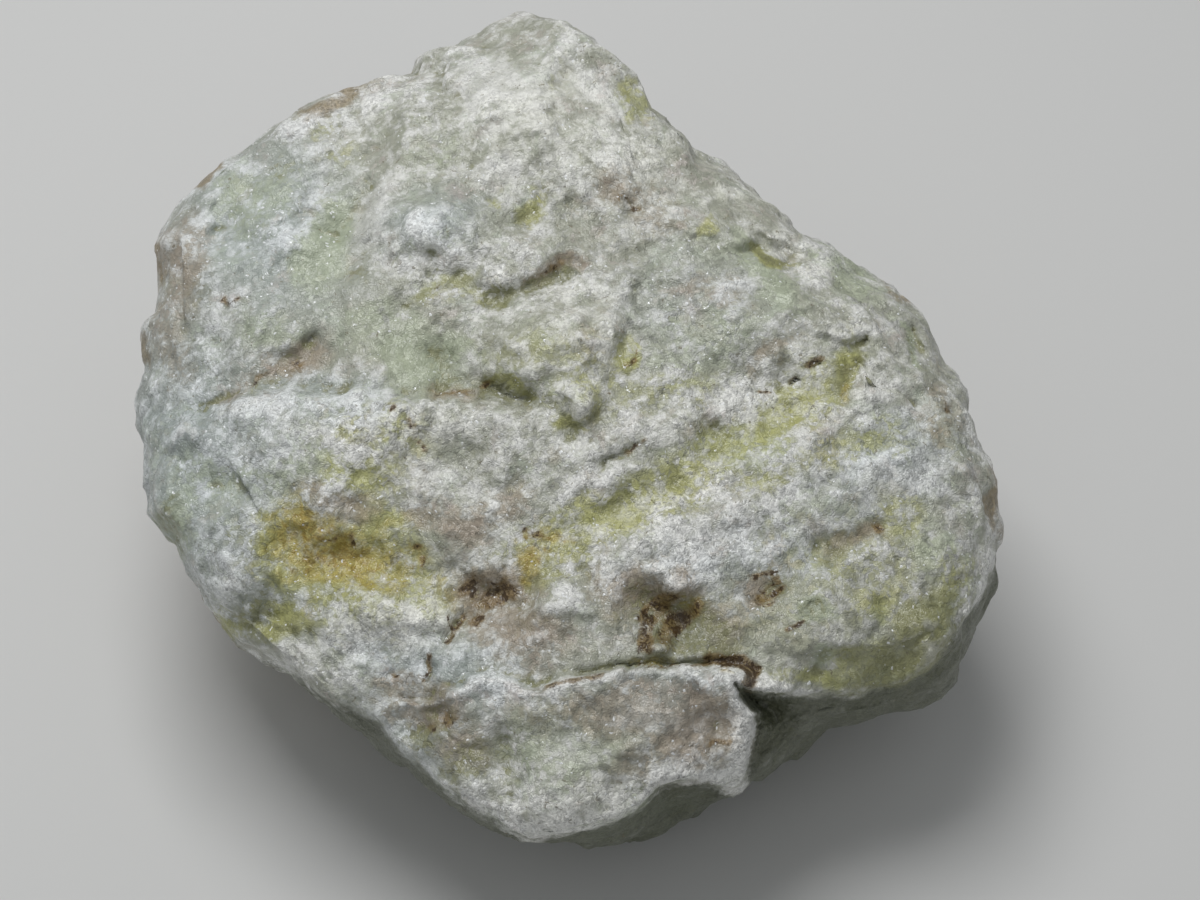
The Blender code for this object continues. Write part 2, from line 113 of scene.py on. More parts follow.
def layered_noise(points, size, seed, layers):
    """Soft noise summed over layers, each half the size and half the strength of the last."""
    return sum(soft_noise(points, size / 2 ** n, seed + n) / 2 ** n for n in range(layers))


def chipped(points, size, seed):
    """Broken facets from about -1 to 1: space is parted among scattered cell centres, and in each
    cell the surface is a plane of the cell's own level and tilt. Where cells meet, their planes are
    blended by weights exp(-sharpness * distance^2), so that each edge is a short slope."""
    scaled = points / size
    base = np.floor(scaled).astype(np.int64)
    total = np.zeros(len(points))
    weights = np.full(len(points), 1e-12)
    for offset in product((-1, 0, 1), repeat=3):
        cell = (base + offset).T
        gap = [scaled[:, n] - cell[n] - 0.1 - 0.8 * lattice_random(*cell, seed + n) for n in range(3)]
        tilt = [2 * lattice_random(*cell, seed + 5 + n) - 1 for n in range(3)]
        level = CHIP_LEVEL * (2 * lattice_random(*cell, seed + 9) - 1)
        plane = level + sum(g * t for g, t in zip(gap, tilt))
        weight = np.exp(-CHIP_SHARPNESS * (gap[0] ** 2 + gap[1] ** 2 + gap[2] ** 2))
        total += weight * plane
        weights += weight
    return total / weights


def smooth_step(value, low, high):
    """0 below low, 1 above high, and the curve 3t^2 - 2t^3 between."""
    t = np.clip((value - low) / (high - low), 0, 1)
    return t * t * (3 - 2 * t)


sample = soft_noise(np.random.default_rng(1).uniform(0, 50, (1000, 3)), 5.0, 3)
print("Soft noise runs from", round(sample.min(), 2), "to", round(sample.max(), 2))

# %% [markdown]
# ## Shapes drawn on the face
# Every ledge, groove and lump is a soft function of the distance to a drawn path or place.
# A sculptor would push them in by hand; a formula has the advantage that it can be read, moved
# and made sharper. Paths and places are in millimetres on the sight plane.

# %% Paths, grooves, ledges and lumps


def path_distance(x, y, path):
    """Distance from each place to a path of straight runs, the signed side (positive on the left
    of the path's direction), and how far along the path the nearest spot lies, from 0 to 1."""
    nearest = np.full(x.shape, 1e9)
    side = np.zeros(x.shape)
    along = np.zeros(x.shape)
    lengths = [math.dist(a, b) for a, b in zip(path, path[1:])]
    passed = 0.0
    for (ax, ay), (bx, by), length in zip(path, path[1:], lengths):
        dx, dy = (bx - ax) / length, (by - ay) / length
        reach = np.clip((x - ax) * dx + (y - ay) * dy, 0, length)
        gap_x, gap_y = x - ax - reach * dx, y - ay - reach * dy
        distance = np.hypot(gap_x, gap_y)
        closer = distance < nearest
        side = np.where(closer, dx * gap_y - dy * gap_x, side)
        along = np.where(closer, (passed + reach) / sum(lengths), along)
        nearest = np.where(closer, distance, nearest)
        passed += length
    return nearest, np.where(side >= 0, nearest, -nearest), along


def inside(x, y, corners):
    """True where a place lies inside a closed outline: a ray to the right crosses it an odd
    number of times."""
    result = np.zeros(x.shape, bool)
    for (ax, ay), (bx, by) in zip(corners, corners[1:] + corners[:1]):
        if ay != by:
            crosses = (ay > y) != (by > y)
            result ^= crosses & (x < ax + (y - ay) * (bx - ax) / (by - ay))
    return result


def groove(x, y, path, width, depth):
    """A groove along a path: minus its depth times exp(-(distance / width)^2), shallower at its ends."""
    distance, _, along = path_distance(x, y, path)
    ends = np.minimum(1, 0.35 + 2.6 * np.minimum(along, 1 - along))
    return -depth * ends * np.exp(-(distance / width) ** 2)


def ridge(x, y, path, width, height):
    """A ridge along a path, as a groove turned over."""
    return -groove(x, y, path, width, height)


def ledge(x, y, path, drop, edge, reach):
    """A step along a path: the left side stands up by the drop within the edge's width, and the
    rise dies away over the reach; it fades at the path's two ends."""
    _, side, along = path_distance(x, y, path)
    ends = smooth_step(np.minimum(along, 1 - along), 0.0, 0.12)
    return drop * ends * smooth_step(side, -edge, edge) * np.exp(-np.maximum(side, 0) / reach)


def lump(x, y, place, radii, turn, height, flatness=1.0):
    """A rounded rise, or a hollow where the height is negative: height times
    exp(-(d^2)^flatness), where d is the distance in units of the two radii."""
    cos_turn, sin_turn = math.cos(math.radians(turn)), math.sin(math.radians(turn))
    dx, dy = x - place[0], y - place[1]
    u = (dx * cos_turn + dy * sin_turn) / radii[0]
    v = (dy * cos_turn - dx * sin_turn) / radii[1]
    return height * np.exp(-(u * u + v * v) ** flatness)


away = np.array([0.0, 1.0, 2.0])
print("A lump 0, 1 and 2 radii away:", lump(away, 0 * away, (0, 0), (1, 1), 0, 1.0).round(2))

# %% [markdown]
# ## The bulk of the stone
# The stone is mapped from a ball. A direction round the sight line picks a place on the outline;
# the angle away from the sight line runs over the broken face, over the rim and down the
# underside. The shaded side at the lower right slopes away from its own edge, under the slab.

# %% The outline and the bulk
OUTLINE_CENTRE = (-2.5, 1.7)
OUTLINE = (
    (33.4, -7.9), (32.6, -2.1), (31.1, 1.8), (29.8, 6), (28.5, 7), (27.4, 10.5), (25.4, 12.7),
    (21.5, 15.2), (19.4, 16.9), (16.5, 18.1), (12.3, 22.1), (7.6, 25.2), (4.2, 28.4), (3, 31.3),
    (0, 33.8), (-3.2, 35.6), (-6.2, 36.4), (-9.8, 34.8), (-11.7, 33.6), (-13.6, 33.6),
    (-15.3, 32.8), (-15.6, 31.4), (-19.3, 30.3), (-24.5, 28.9), (-29.9, 24.8), (-34.3, 21.2),
    (-37.1, 17.1), (-36.8, 13.2), (-36.9, 11.3), (-38, 10.4), (-37.8, 6.6), (-38.4, 3.8),
    (-38, -1.2), (-37.5, -5.3), (-35.2, -7.9), (-33.1, -12.1), (-29.8, -16.1), (-27, -17.2),
    (-22.5, -21.3), (-16.2, -26.2), (-9.8, -31.2), (-6.2, -32.5), (-0.9, -32.8), (3.6, -32.4),
    (9.5, -29.5), (12.5, -27.7), (16.9, -25), (19.3, -23.2), (24.4, -21.8), (28.7, -20.6),
    (29.8, -19), (30.2, -16.8), (31.6, -14), (33, -11.2),
)
FACE_LEAN = 0.30
FACE_RISE = 11.0
FACE_ROUNDING = 0.55
RIM_CROWDING = 0.85
UNDERSIDE_DEPTH = 27.0
UNDERSIDE_ROUNDING = 1.15
CORNER_WANDER = 0.16
RIM_SWELL = 1.8
RIM_EVENING = (-0.3, -0.15, 0.0, 0.15, 0.3)
SIDE_EDGE = (
    (-27, -17.2), (-23.6, -19.6), (-20, -21.7), (-18.3, -22.4), (-15.8, -25.2), (-12.7, -28),
    (-9.3, -30.2), (-5.8, -32.2), (-1.5, -31.3), (1.4, -30.3), (3.2, -29.3), (4.8, -27.6), (6.4, -27.3),
    (9, -27.5), (10.7, -28.2), (11.9, -27.8), (12.1, -25.6), (12.8, -23.2), (12.7, -22.2),
    (11.4, -20.7), (11, -19.2), (13, -19.9), (16.5, -20.2), (21.7, -20), (25.2, -19.2),
    (27.2, -18), (28.4, -16.2), (30, -14), (32, -11.6), (33, -8), (35, -2),
)
SIDE_CORNERS = ((60, -2), (60, -60), (-27, -60))
SIDE_SLOPE = 1.9
SLAB_DROP = 3.6
SLAB_START = (-6.0, 8.0)
SLAB_END = (12.8, 17.0)
# Which way each hidden facet faces, and its distance from the middle
HIDDEN_FACETS = (
    ((-0.55, 0.72, 0.25), 35.0),
    ((0.50, 0.80, 0.10), 29.5),
    ((0.95, 0.20, -0.25), 31.0),
    ((-0.93, -0.10, -0.35), 31.5),
    ((-0.45, -0.62, -0.65), 25.5),
    ((0.35, -0.55, -0.75), 26.0),
    ((0.10, 0.75, -0.65), 27.0),
)
MIDDLE = (0.0, 1.0, 20.0)


def beyond_edge(x, y):
    """How far a place lies past the face's edge on the shaded side; 0 on the face."""
    distance, _, _ = path_distance(x, y, SIDE_EDGE)
    return np.where(inside(x, y, SIDE_EDGE + SIDE_CORNERS), distance, 0.0)


def bulk_height(x, y):
    """Height along the sight line of the plane the rim lies near: it falls back towards the top,
    steps down past the slab's edge and slopes away over the shaded side."""
    beyond = beyond_edge(x, y)
    overhang = SLAB_DROP * (1 - smooth_step(x, *SLAB_END)) * smooth_step(x, *SLAB_START)
    fall = overhang * smooth_step(beyond, 0.0, 1.0) + SIDE_SLOPE * beyond
    return -FACE_LEAN * (y - OUTLINE_CENTRE[1]) - fall


def rim_radius(angle):
    """Distance from the outline's centre to the outline at each angle, straight between its points."""
    offsets = np.array(OUTLINE) - OUTLINE_CENTRE
    angles = np.arctan2(offsets[:, 1], offsets[:, 0])
    return np.interp(angle, angles, np.hypot(offsets[:, 0], offsets[:, 1]), period=2 * math.pi)


def rim_place(angle):
    """Where the outline lies at each angle round its centre."""
    radius = rim_radius(angle)
    return OUTLINE_CENTRE[0] + radius * np.cos(angle), OUTLINE_CENTRE[1] + radius * np.sin(angle)


def rim_height(angle):
    """Height of the rim along the sight line at each angle."""
    return bulk_height(*rim_place(angle))


def evened(measure, angle):
    """A measure of the rim averaged over a few nearby angles, which rounds off its corners."""
    return sum(measure(angle + step) for step in RIM_EVENING) / len(RIM_EVENING)


def sight_to_world(x, y, z):
    """Places given across and along the sight line to places on the floor's axes: a sighted offset
    shrinks as it nears the eye, by 1 - z / distance, and the sight axes then turn to +Z up."""
    shrink = 1 - z / SIGHT_DISTANCE
    x, y = x * shrink, y * shrink
    sin_e, cos_e = math.sin(SIGHT_ELEVATION), math.cos(SIGHT_ELEVATION)
    return np.column_stack((x, sin_e * y - cos_e * z, cos_e * y + sin_e * z)) + SIGHT_CENTRE


around = rim_radius(np.linspace(0, 2 * math.pi, 360))
print("Rim radius in mm:", around.min().round(1), "to", around.max().round(1))

# %% [markdown]
# ## Ledges, hollows and lumps
# These are the forms that someone who knows this stone would look for: a deep undercut below a
# creamy lump, a brow across the left half, a stained valley with a white ridge under it, a brown
# hollow, and the slab that hangs over the lower edge. They are grouped as they lie on the face.

# %% The relief of the broken face
RELIEF = (
    # Top horn and upper left shoulder
    (ledge, ((-21.2, 16.5), (-18.8, 22.5), (-16.7, 27.5), (-15.4, 33)), -1.6, 1.2, 9),
    (lump, (-22, 16.8), (2.4, 4), -20, -1.1),
    (lump, (-14.6, 18.9), (4.4, 2.6), 12, 1.9, 1.4),
    (lump, (-31, 19.5), (4.5, 3), 40, -1.2),
    (lump, (-29, 11.5), (4, 3), 0, 0.9),
    (lump, (-5.5, 28.5), (5, 4), 30, 1.4),
    (lump, (1.8, 24), (3.2, 2.6), 0, 1),
    (groove, ((-7.4, 18.6), (-4.2, 21.5)), 1, 0.8),
    (groove, ((-3.9, 29.4), (-2.1, 32.2)), 0.8, 0.8),
    # Upper pit and the grooves either side of it
    (groove, ((-16.5, 11.8), (-11.2, 15.2)), 1.1, 0.9),
    (groove, ((-11.6, 13.4), (-9.2, 12.8), (-6, 13.6), (-3.3, 14.4), (-0.6, 15.2)), 1.1, 1.1),
    # Main undercut, the creamy lump above it and the tongue beside it
    (lump, (-15, 8), (4.6, 2.6), -20, -0.8),
    (groove, ((-17, 8.2), (-13.3, 6.6), (-10.2, 5.9)), 1.2, 0.35),
    (groove, ((-10.2, 5.8), (-8.2, 5.2), (-6.2, 4.8), (-4, 4.7)), 0.9, 1.5),
    (lump, (-5.2, 9), (6.6, 2.7), 12, 2.2, 1.5),
    (ridge, ((-1.8, 8), (-1.6, 5), (-2.2, 3.2)), 1.9, 1.5),
    (ledge, ((-2.3, 1.6), (-0.6, 3.4), (1, 5.2), (1.9, 9.5), (2.1, 12.8), (3.6, 15.6)), 0.8, 0.8, 6),
    (lump, (-2.4, 1.9), (1.1, 0.9), 20, -1.1),
    # Brow of the lower block and the pockets over its left end
    (ledge, ((-4.2, 1.4), (-8.3, 3.6), (-15, 4.6), (-21.7, 4.4), (-27.5, 4.6), (-32.1, 3.6), (-37, 0.2)),
     1.7, 0.8, 9),
    (lump, (-31.8, 3.9), (2, 1.1), 30, -0.8),
    (lump, (-25, 7.6), (2.3, 1.5), 25, -0.9),
    (lump, (-23, 1), (6, 2.4), 0, 0.7),
    # Left end of the lower block: a white slab, the stained hollow and the lump over it
    (lump, (-30.4, -8.3), (3.3, 3.6), 0, 1.5, 1.6),
    (groove, ((-27, -9.3), (-22.5, -8.9), (-16.7, -9.8), (-12, -11.2)), 2, 0.9),
    (lump, (-21.7, -4.4), (3.2, 1.9), 0, 1, 1.3),
    (groove, ((-29, -12.8), (-26, -14.5)), 1.4, 1.2),
    (lump, (-19.5, -13.8), (5.2, 2.4), 10, 1, 1.3),
    # Purple pit and the lilac lump beside it
    (lump, (-8.6, -12.2), (3.2, 2.1), 15, -1.9),
    (lump, (-3.9, -12.8), (2.2, 1.9), 0, 1.3, 1.3),
    (lump, (-9, -5.5), (4, 2.2), 0, 0.6),
    # Olive valley, the white ridge under it and the grey hollow at its right
    (groove, ((-5.4, -9.4), (0, -5.4), (6.7, -2.6), (9.7, 0), (13.3, 1.6), (16.9, 3.8), (20.6, 6.6)),
     2.3, 0.9),
    (ridge, ((-2, -10.8), (2.5, -8), (8.3, -5.2), (13.3, -5), (17.7, -4.6), (22, -2.4), (29, -1.2)),
     1.9, 0.4),
    (groove, ((17.4, -9), (19.6, -7.8), (22.5, -6.2)), 1.1, 0.9),
    (ridge, ((21.5, -3.3), (23.3, -0.9), (27.1, 0.1)), 0.9, 0.45),
    # Right shoulder: the wedge, the curved groove and the sliver at the edge
    (ledge, ((20.6, 3), (21.4, 6.2), (22.4, 9.6)), -1.3, 0.4, 3.5),
    (groove, ((10.6, 16.5), (13.1, 16.9), (15.4, 16.3), (17.2, 15)), 0.8, 1.3),
    (groove, ((25.2, 10.6), (26.5, 7.4)), 0.7, 1.3),
    (lump, (12, 10.5), (7.5, 2.6), -25, 0.9),
    (lump, (24.5, -0.5), (3, 2), 20, 0.4),
    (lump, (28.5, -8.5), (2.5, 3.5), 0, 0.8),
    # Brown hollow and the white lumps standing in it
    (lump, (5.4, -13.9), (3, 2), -12, -1.8, 1.4),
    (lump, (4.6, -15.7), (1.1, 0.9), 0, 1.6),
    (lump, (5.7, -10.9), (1.2, 0.9), 0, 1.2),
    (lump, (14.2, -11.8), (2.2, 1.6), 20, -1),
    # The slab over the lower edge: its raised lip, the pit at its left and its folds
    (ledge, ((17, -19.6), (11.8, -18.1), (3.3, -18.2), (-4.6, -19.8), (-10, -19), (-18.5, -21.5)),
     1.9, 0.5, 10),
    (lump, (-14.4, -21.8), (2.5, 1.6), 20, -1.7),
    (lump, (9.4, -22.8), (1.8, 1.6), 0, -0.8),
    (lump, (-3.5, -28.5), (3.6, 3), 0, 1.1, 1.3),
    (groove, ((-9.5, -22), (-7.5, -28.5)), 1.5, 1.1),
)


def large_relief(x, y):
    """Ledges, hollows and lumps of the broken face, each with its own sizes, summed, in millimetres."""
    return sum(form(x, y, *sizes) for form, *sizes in RELIEF)


print("Forms on the face:", len(RELIEF))

# %% [markdown]
# ## Crumbs, streaks and small cracks
# Close up, the face is broken into facets of 9, 4, 2 and 1 mm, each size with its own soft steps.
# The coarse ones are in the solid model too; the fine ones are only here. Over the right half
# the grain runs in streaks up to the right, so one layer of noise is stretched that way.

# %% Roughness from coarse to fine
GRAIN_DIRECTION = math.radians(32)
COARSE_CHIPS = ((0.65, 9.0, 61), (0.4, 4.2, 81))
FINE_CHIPS = ((0.15, 2.1, 161), (0.13, 1.05, 181))
TERRACES_PER_NOISE = 3.0
TERRACE_HEIGHT = 0.24


def chips(place, reach, size, seed, kinds):
    """Broken facets summed over kinds (height, size, seed), in millimetres. The places are first
    moved about by soft noise, as far as the reach, so that the facets' edges bend."""
    bent = place + reach * np.column_stack([soft_noise(place, size, seed + n) for n in range(3)])
    return sum(height * chipped(bent, *size_and_seed) for height, *size_and_seed in kinds)


def coarse_roughness(place):
    """Broken facets about 9 and 4 mm across over a slow swell, in millimetres."""
    return chips(place, 0.8, 4.0, 51, COARSE_CHIPS) + 0.3 * layered_noise(place, 14.0, 71, 3)


def fine_roughness(place):
    """Crumbs about 2 and 1 mm across and streaks along the grain, in millimetres: chips at two
    sizes, and soft noise in a space squeezed to a third along the grain's direction."""
    along = place[:, 0] * math.cos(GRAIN_DIRECTION) + place[:, 1] * math.sin(GRAIN_DIRECTION)
    across = place[:, 1] * math.cos(GRAIN_DIRECTION) - place[:, 0] * math.sin(GRAIN_DIRECTION)
    streaks = 0.2 * layered_noise(np.column_stack((along / 3, across, place[:, 2])), 1.6, 191, 2)
    return chips(place, 0.45, 1.5, 151, FINE_CHIPS) + streaks


def terraces(place):
    """Thin broken layers, in millimetres: a slow noise is cut into levels, each a bench that ends
    in a short steep step."""
    level = TERRACES_PER_NOISE * layered_noise(place, 8.0, 201, 4)
    bench = np.floor(level)
    return TERRACE_HEIGHT * (bench + smooth_step(level - bench, 0.3, 0.7))


SLITS = (
    (((17.3, 6.9), (18.5, 7.6)), 0.28, 0.9),
    (((15.6, 5.5), (16.3, 6.1)), 0.22, 0.6),
    (((-0.4, -2.2), (0.9, -0.8), (2, -0.3), (3.8, 1)), 0.35, 0.7),
    (((-4.6, -19.6), (0, -18.6), (3.3, -17.7), (11.7, -17.7), (13.1, -18.6)), 0.4, 0.9),
    (((12.9, -18.2), (13.2, -19.2), (12.4, -20)), 0.6, 1.2),
    (((-14.2, -17.1), (-14.3, -18.3), (-14.9, -19.4)), 0.3, 0.6),
    (((-11.4, -13.8), (-12.3, -15.3), (-12.8, -16)), 0.3, 0.7),
)
HOLES = (
    (4.4, 15.2, 0.5, 0.5), (4.9, 13.7, 0.4, 0.4), (2.6, 13.3, 0.4, 0.4), (2.2, 19.7, 0.45, 0.5),
    (-31, 11.9, 0.4, 0.5), (-24.3, 9.1, 0.6, 0.6), (-17.8, 3.4, 0.45, 0.6), (2.4, 20.9, 0.35, 0.5),
    (17.8, -13, 0.5, 0.5), (23.1, -13, 0.5, 0.5), (22.6, -15.5, 0.4, 0.4), (20.6, -16.9, 0.5, 0.5),
    (29.2, 3.4, 0.5, 0.5), (-17.7, -18.9, 0.45, 0.5), (22.7, -5.9, 0.7, 0.6),
)


def small_marks(x, y):
    """Slits and open cracks (path, width, depth) and little holes (place, radius, depth) that are
    too fine for the solid, in millimetres."""
    z = sum(groove(x, y, *slit) for slit in SLITS)
    for hole_x, hole_y, radius, depth in HOLES:
        z += lump(x, y, (hole_x, hole_y), (radius, radius), 0, -depth)
    return z


print("Slits:", len(SLITS), "holes:", len(HOLES))

# %% [markdown]
# ## From a ball to the stone
# A globe with poles would crowd its points where the meridians meet. A cube has no poles, so
# each of its six sides is a grid of two parameters, blown up to a ball. The sides share their
# edge points, which closes the surface. Every point of the ball is then carried to the stone.

# %% Six grids that close into a ball
GRID_STEPS = 128
FRONT_SHARE = 0.30
RIM_FADE = 0.3
FACE_FADE = 0.25
RELIEF_WANDER = 0.8


def cube_sides(steps):
    """The points and quads of a cube's surface: six grids of two parameters from -1 to 1, each
    turned to face outwards, with the points that two sides share kept once."""
    u, v = np.indices((steps + 1, steps + 1))
    far, near = np.full_like(u, steps), np.zeros_like(u)
    sides = ((u, v, far), (v, u, near), (far, u, v), (near, v, u), (v, far, u), (u, near, v))
    stacked = np.concatenate([np.stack(side, axis=-1).reshape(-1, 3) for side in sides])
    shared, index = np.unique(stacked, axis=0, return_inverse=True)
    index = index.reshape(6, steps + 1, steps + 1)
    corners = (index[:, :-1, :-1], index[:, 1:, :-1], index[:, 1:, 1:], index[:, :-1, 1:])
    quads = np.stack(corners, axis=-1).reshape(-1, 4)
    return shared / (steps / 2) - 1, quads


cube, quads = cube_sides(GRID_STEPS)
ball = np.tan(cube * math.pi / 4)
ball /= np.linalg.norm(ball, axis=1)[:, None]
print("Ball:", len(ball), "points,", len(quads) * 2, "triangles")

# %% The ball carried to the stone's form


def stone_points(ball):
    """Carries the points of a unit ball to the stone. The ball's angle round the sight line picks
    the outline's direction, and its angle from it runs over the face, the rim and the underside.
    Also gives the places on the sight plane, and how far each point is on the face and on the
    hidden sides (0 to 1)."""
    x, y, z = ball.T
    tilt = np.arccos(np.clip(z, -1, 1))
    tilt = tilt - FRONT_SHARE * np.sin(tilt)
    turn = np.arctan2(y, x)
    spread = np.sin(tilt) ** RIM_CROWDING
    front = np.clip(np.cos(tilt), 0, 1)
    back = np.clip(-np.cos(tilt), 0, 1)

    # The face and the underside, as sighted; the outline's corners wander away from the rim
    off_rim = smooth_step(front + back, 0.0, RIM_FADE)
    flat = np.sin(tilt)
    direction = np.column_stack((flat * np.cos(turn), flat * np.sin(turn), np.cos(tilt)))
    wander = CORNER_WANDER * off_rim * layered_noise(direction, 0.3, 11, 2)
    hidden = smooth_step(back, 0.0, RIM_FADE)
    radius = rim_radius(turn + wander)
    radius = radius + hidden * (evened(rim_radius, turn + wander) - radius)
    rim_x = radius * np.cos(turn)
    rim_y = radius * np.sin(turn)
    sx = OUTLINE_CENTRE[0] + spread * rim_x
    sy = OUTLINE_CENTRE[1] + spread * rim_y
    under = rim_height(turn) + hidden * (evened(rim_height, turn) - rim_height(turn))
    sz = np.where(back > 0, under * spread, bulk_height(sx, sy) + FACE_RISE * front ** FACE_ROUNDING)
    rim_flat = np.column_stack((rim_x, rim_y, 0 * turn))
    sz = sz + RIM_SWELL * spread ** 6 * layered_noise(rim_flat, 11.0, 15, 3)
    down = UNDERSIDE_DEPTH * back ** UNDERSIDE_ROUNDING
    sy = sy - math.cos(SIGHT_ELEVATION) * down
    sz = sz - math.sin(SIGHT_ELEVATION) * down

    # Nothing stands out past the outline
    off_x, off_y = sx - OUTLINE_CENTRE[0], sy - OUTLINE_CENTRE[1]
    reach = np.hypot(off_x, off_y)
    limit = rim_radius(np.arctan2(off_y, off_x))
    held = np.minimum(1, limit / np.maximum(reach, 1e-6))
    sx, sy = OUTLINE_CENTRE[0] + off_x * held, OUTLINE_CENTRE[1] + off_y * held

    # Relief of the face, which dies away at the rim
    place = sight_to_world(sx, sy, sz)
    shift = [RELIEF_WANDER * layered_noise(place, 2.8, seed, 3) for seed in (21, 31)]
    on_face = smooth_step(front, 0.0, FACE_FADE)
    lit = 1 - smooth_step(beyond_edge(sx, sy), 0.0, 0.8)
    sz = sz + on_face * lit * large_relief(sx + shift[0], sy + shift[1])
    marks = small_marks(sx + 0.5 * shift[0], sy + 0.5 * shift[1])
    sz = sz + on_face * (coarse_roughness(place) + terraces(place) + lit * marks)
    place = sight_to_world(sx, sy, sz)

    # Facets, roughness and the flat base of the hidden sides
    from_middle = place - MIDDLE
    rough = coarse_roughness(place)
    swell = hidden * rough / np.maximum(np.linalg.norm(from_middle, axis=1), 1)
    from_middle = from_middle * (1 + swell)[:, None]
    rim = sight_to_world(*rim_place(turn), rim_height(turn))
    near_rim = 1 - smooth_step(back, 0.0, 0.5)
    for facing, distance in HIDDEN_FACETS:
        facing = np.array(facing) / np.linalg.norm(facing)
        outward = from_middle @ facing
        rim_over = np.maximum((rim - MIDDLE) @ facing - distance, 0)
        level = distance + 0.8 * rough + near_rim * rim_over
        held = np.where((back > 0) & (outward > level), level / np.maximum(outward, 1e-6), 1)
        from_middle = from_middle * held[:, None]
    below = -from_middle[:, 2] > MIDDLE[2]
    held = np.where(below, MIDDLE[2] / np.maximum(-from_middle[:, 2], 1e-6), 1)
    place = from_middle * held[:, None] + MIDDLE
    place[below, 2] = 0.0
    return place, sx, sy, on_face, hidden


points, face_x, face_y, on_face, hidden = stone_points(ball)
print("Stone, in mm:", points.min(0).round(2), "to", points.max(0).round(2))

# %% [markdown]
# ## Crumbs that stand out from the surface
# Crumbs on a real stone point away from whatever surface they sit on, round the rim too, and that
# is what makes an outline look broken. So the fine roughness is added along the surface's own
# normals. It is weaker where the stone is waxy. The soft patches that say where that is are made
# here too, because the colours below use the same ones.

# %% Soft patches on the face
PATCH_FLATNESS = 1.3
bend = np.column_stack((face_x, face_y, 0 * face_x))
bent_x = face_x + layered_noise(bend, 2.8, 301, 4)
bent_y = face_y + layered_noise(bend, 2.8, 311, 4)


def patches(spots):
    """The strongest of a list of soft patches at each point: strength times exp(-(d^2)^1.3) for
    the distance d in units of a patch's radii."""
    total = np.zeros(len(points))
    for x, y, long_radius, short_radius, strength, *turn in spots:
        turn = turn[0] if turn else 0
        radii = (long_radius, short_radius)
        spot = lump(bent_x, bent_y, (x, y), radii, turn, strength, PATCH_FLATNESS)
        total = np.maximum(total, spot)
    return total


# Most of these patches are the stone's waxy grains; those at the slab's lip, along the lower left rim and
# right of the brown hollow darken places that lie in shade, and are painted shade.
WAXY_AND_SHADE_PLACES = (
    (-15, 7.9, 5, 2.6, 1, -10), (-32, 18.3, 4.6, 4.6, 0.7), (-33.8, -3, 4.2, 7, 0.8),
    (19.4, -7.9, 2.6, 1.3, 1, 28), (5, 15.2, 2.4, 2, 0.5), (-22.6, 16.4, 2.4, 4, 0.9, -20),
    (-20, 10.6, 4.6, 3.2, 0.8), (12, 9.5, 6, 2.4, 0.6, -20), (-13.5, -5.8, 2, 1.4, 0.6),
    (3.2, -12.8, 3, 2, 0.6), (-4, -23.5, 7, 3.6, 0.45), (6, -21.6, 5, 2.6, 0.5),
    (-12, -24.4, 3.4, 3, 0.7, -30), (19.6, -11.8, 5.2, 3, 0.7), (-35, -7.4, 1.3, 2.4, 0.9),
    (-3.6, 16.2, 3.4, 1.2, 0.4, 15), (26, -9.6, 3, 4, 0.35), (11, -24.5, 1.6, 3.4, 0.5),
    (-14, 27, 3, 4, 0.5), (-27.8, 21.5, 3.2, 3.2, 0.8, 30), (17.5, 11, 3, 2.4, 0.5, -30),
    (10, 21.5, 8, 1, 0.6, -45), (24, -18, 6, 1.8, 0.7, 14), (-25, 25, 3, 1.2, 0.4, 35),
    (-35, 10.5, 2.6, 6.5, 0.85), (13, 14.6, 5.4, 2.4, 0.9, -36), (10, -15, 3, 2, 1),
    (-7, -15.6, 4, 2.6, 0.6), (-34.6, -6, 2.2, 3.4, 0.8), (4, 8.4, 3.4, 3.8, 0.7),
    (-6.6, -18.5, 3.2, 1.2, 0.8), (-10.6, -6.2, 2.2, 1.7, 0.9), (-27, -14.8, 2.4, 1.8, 0.7),
)
waxy_and_shade = patches(WAXY_AND_SHADE_PLACES) * on_face
print("Waxy share of the surface:", round(float(waxy_and_shade.mean()), 3))

# %% The crumbs along the normals
WAXY_CALM = 0.6
RIM_CHIPS = (0.55, 3.2, 141)
FOOT_FADE = 1.5


def surface_normals(places, faces):
    """The unit normal at each point: the sum of its quads' normals, each the cross product of
    the quad's two diagonals."""
    a, b, c, d = (places[faces[:, n]] for n in range(4))
    face_normals = np.cross(c - a, d - b)
    total = np.column_stack([
        np.bincount(faces.ravel(), np.repeat(face_normals[:, n], 4), len(places)) for n in range(3)
    ])
    return total / np.maximum(np.linalg.norm(total, axis=1), 1e-12)[:, None]


rim_chips = RIM_CHIPS[0] * (1 - on_face) * chipped(points, *RIM_CHIPS[1:])
raise_by = (1 - WAXY_CALM * waxy_and_shade) * fine_roughness(points) + rim_chips
raise_by *= smooth_step(points[:, 2], 0.0, FOOT_FADE)
points = points + raise_by[:, None] * surface_normals(points, quads)
points[:, 2] = np.maximum(points[:, 2], 0.0)
print("Crumbs, in mm:", raise_by.min().round(2), "to", raise_by.max().round(2))

# %% [markdown]
# ## The mesh
# The points and quads go into one mesh in one call each. Each cube side also gets its own square
# of a UV map, six squares in all, so that the finish can be baked to a picture later without
# seams running across the face.

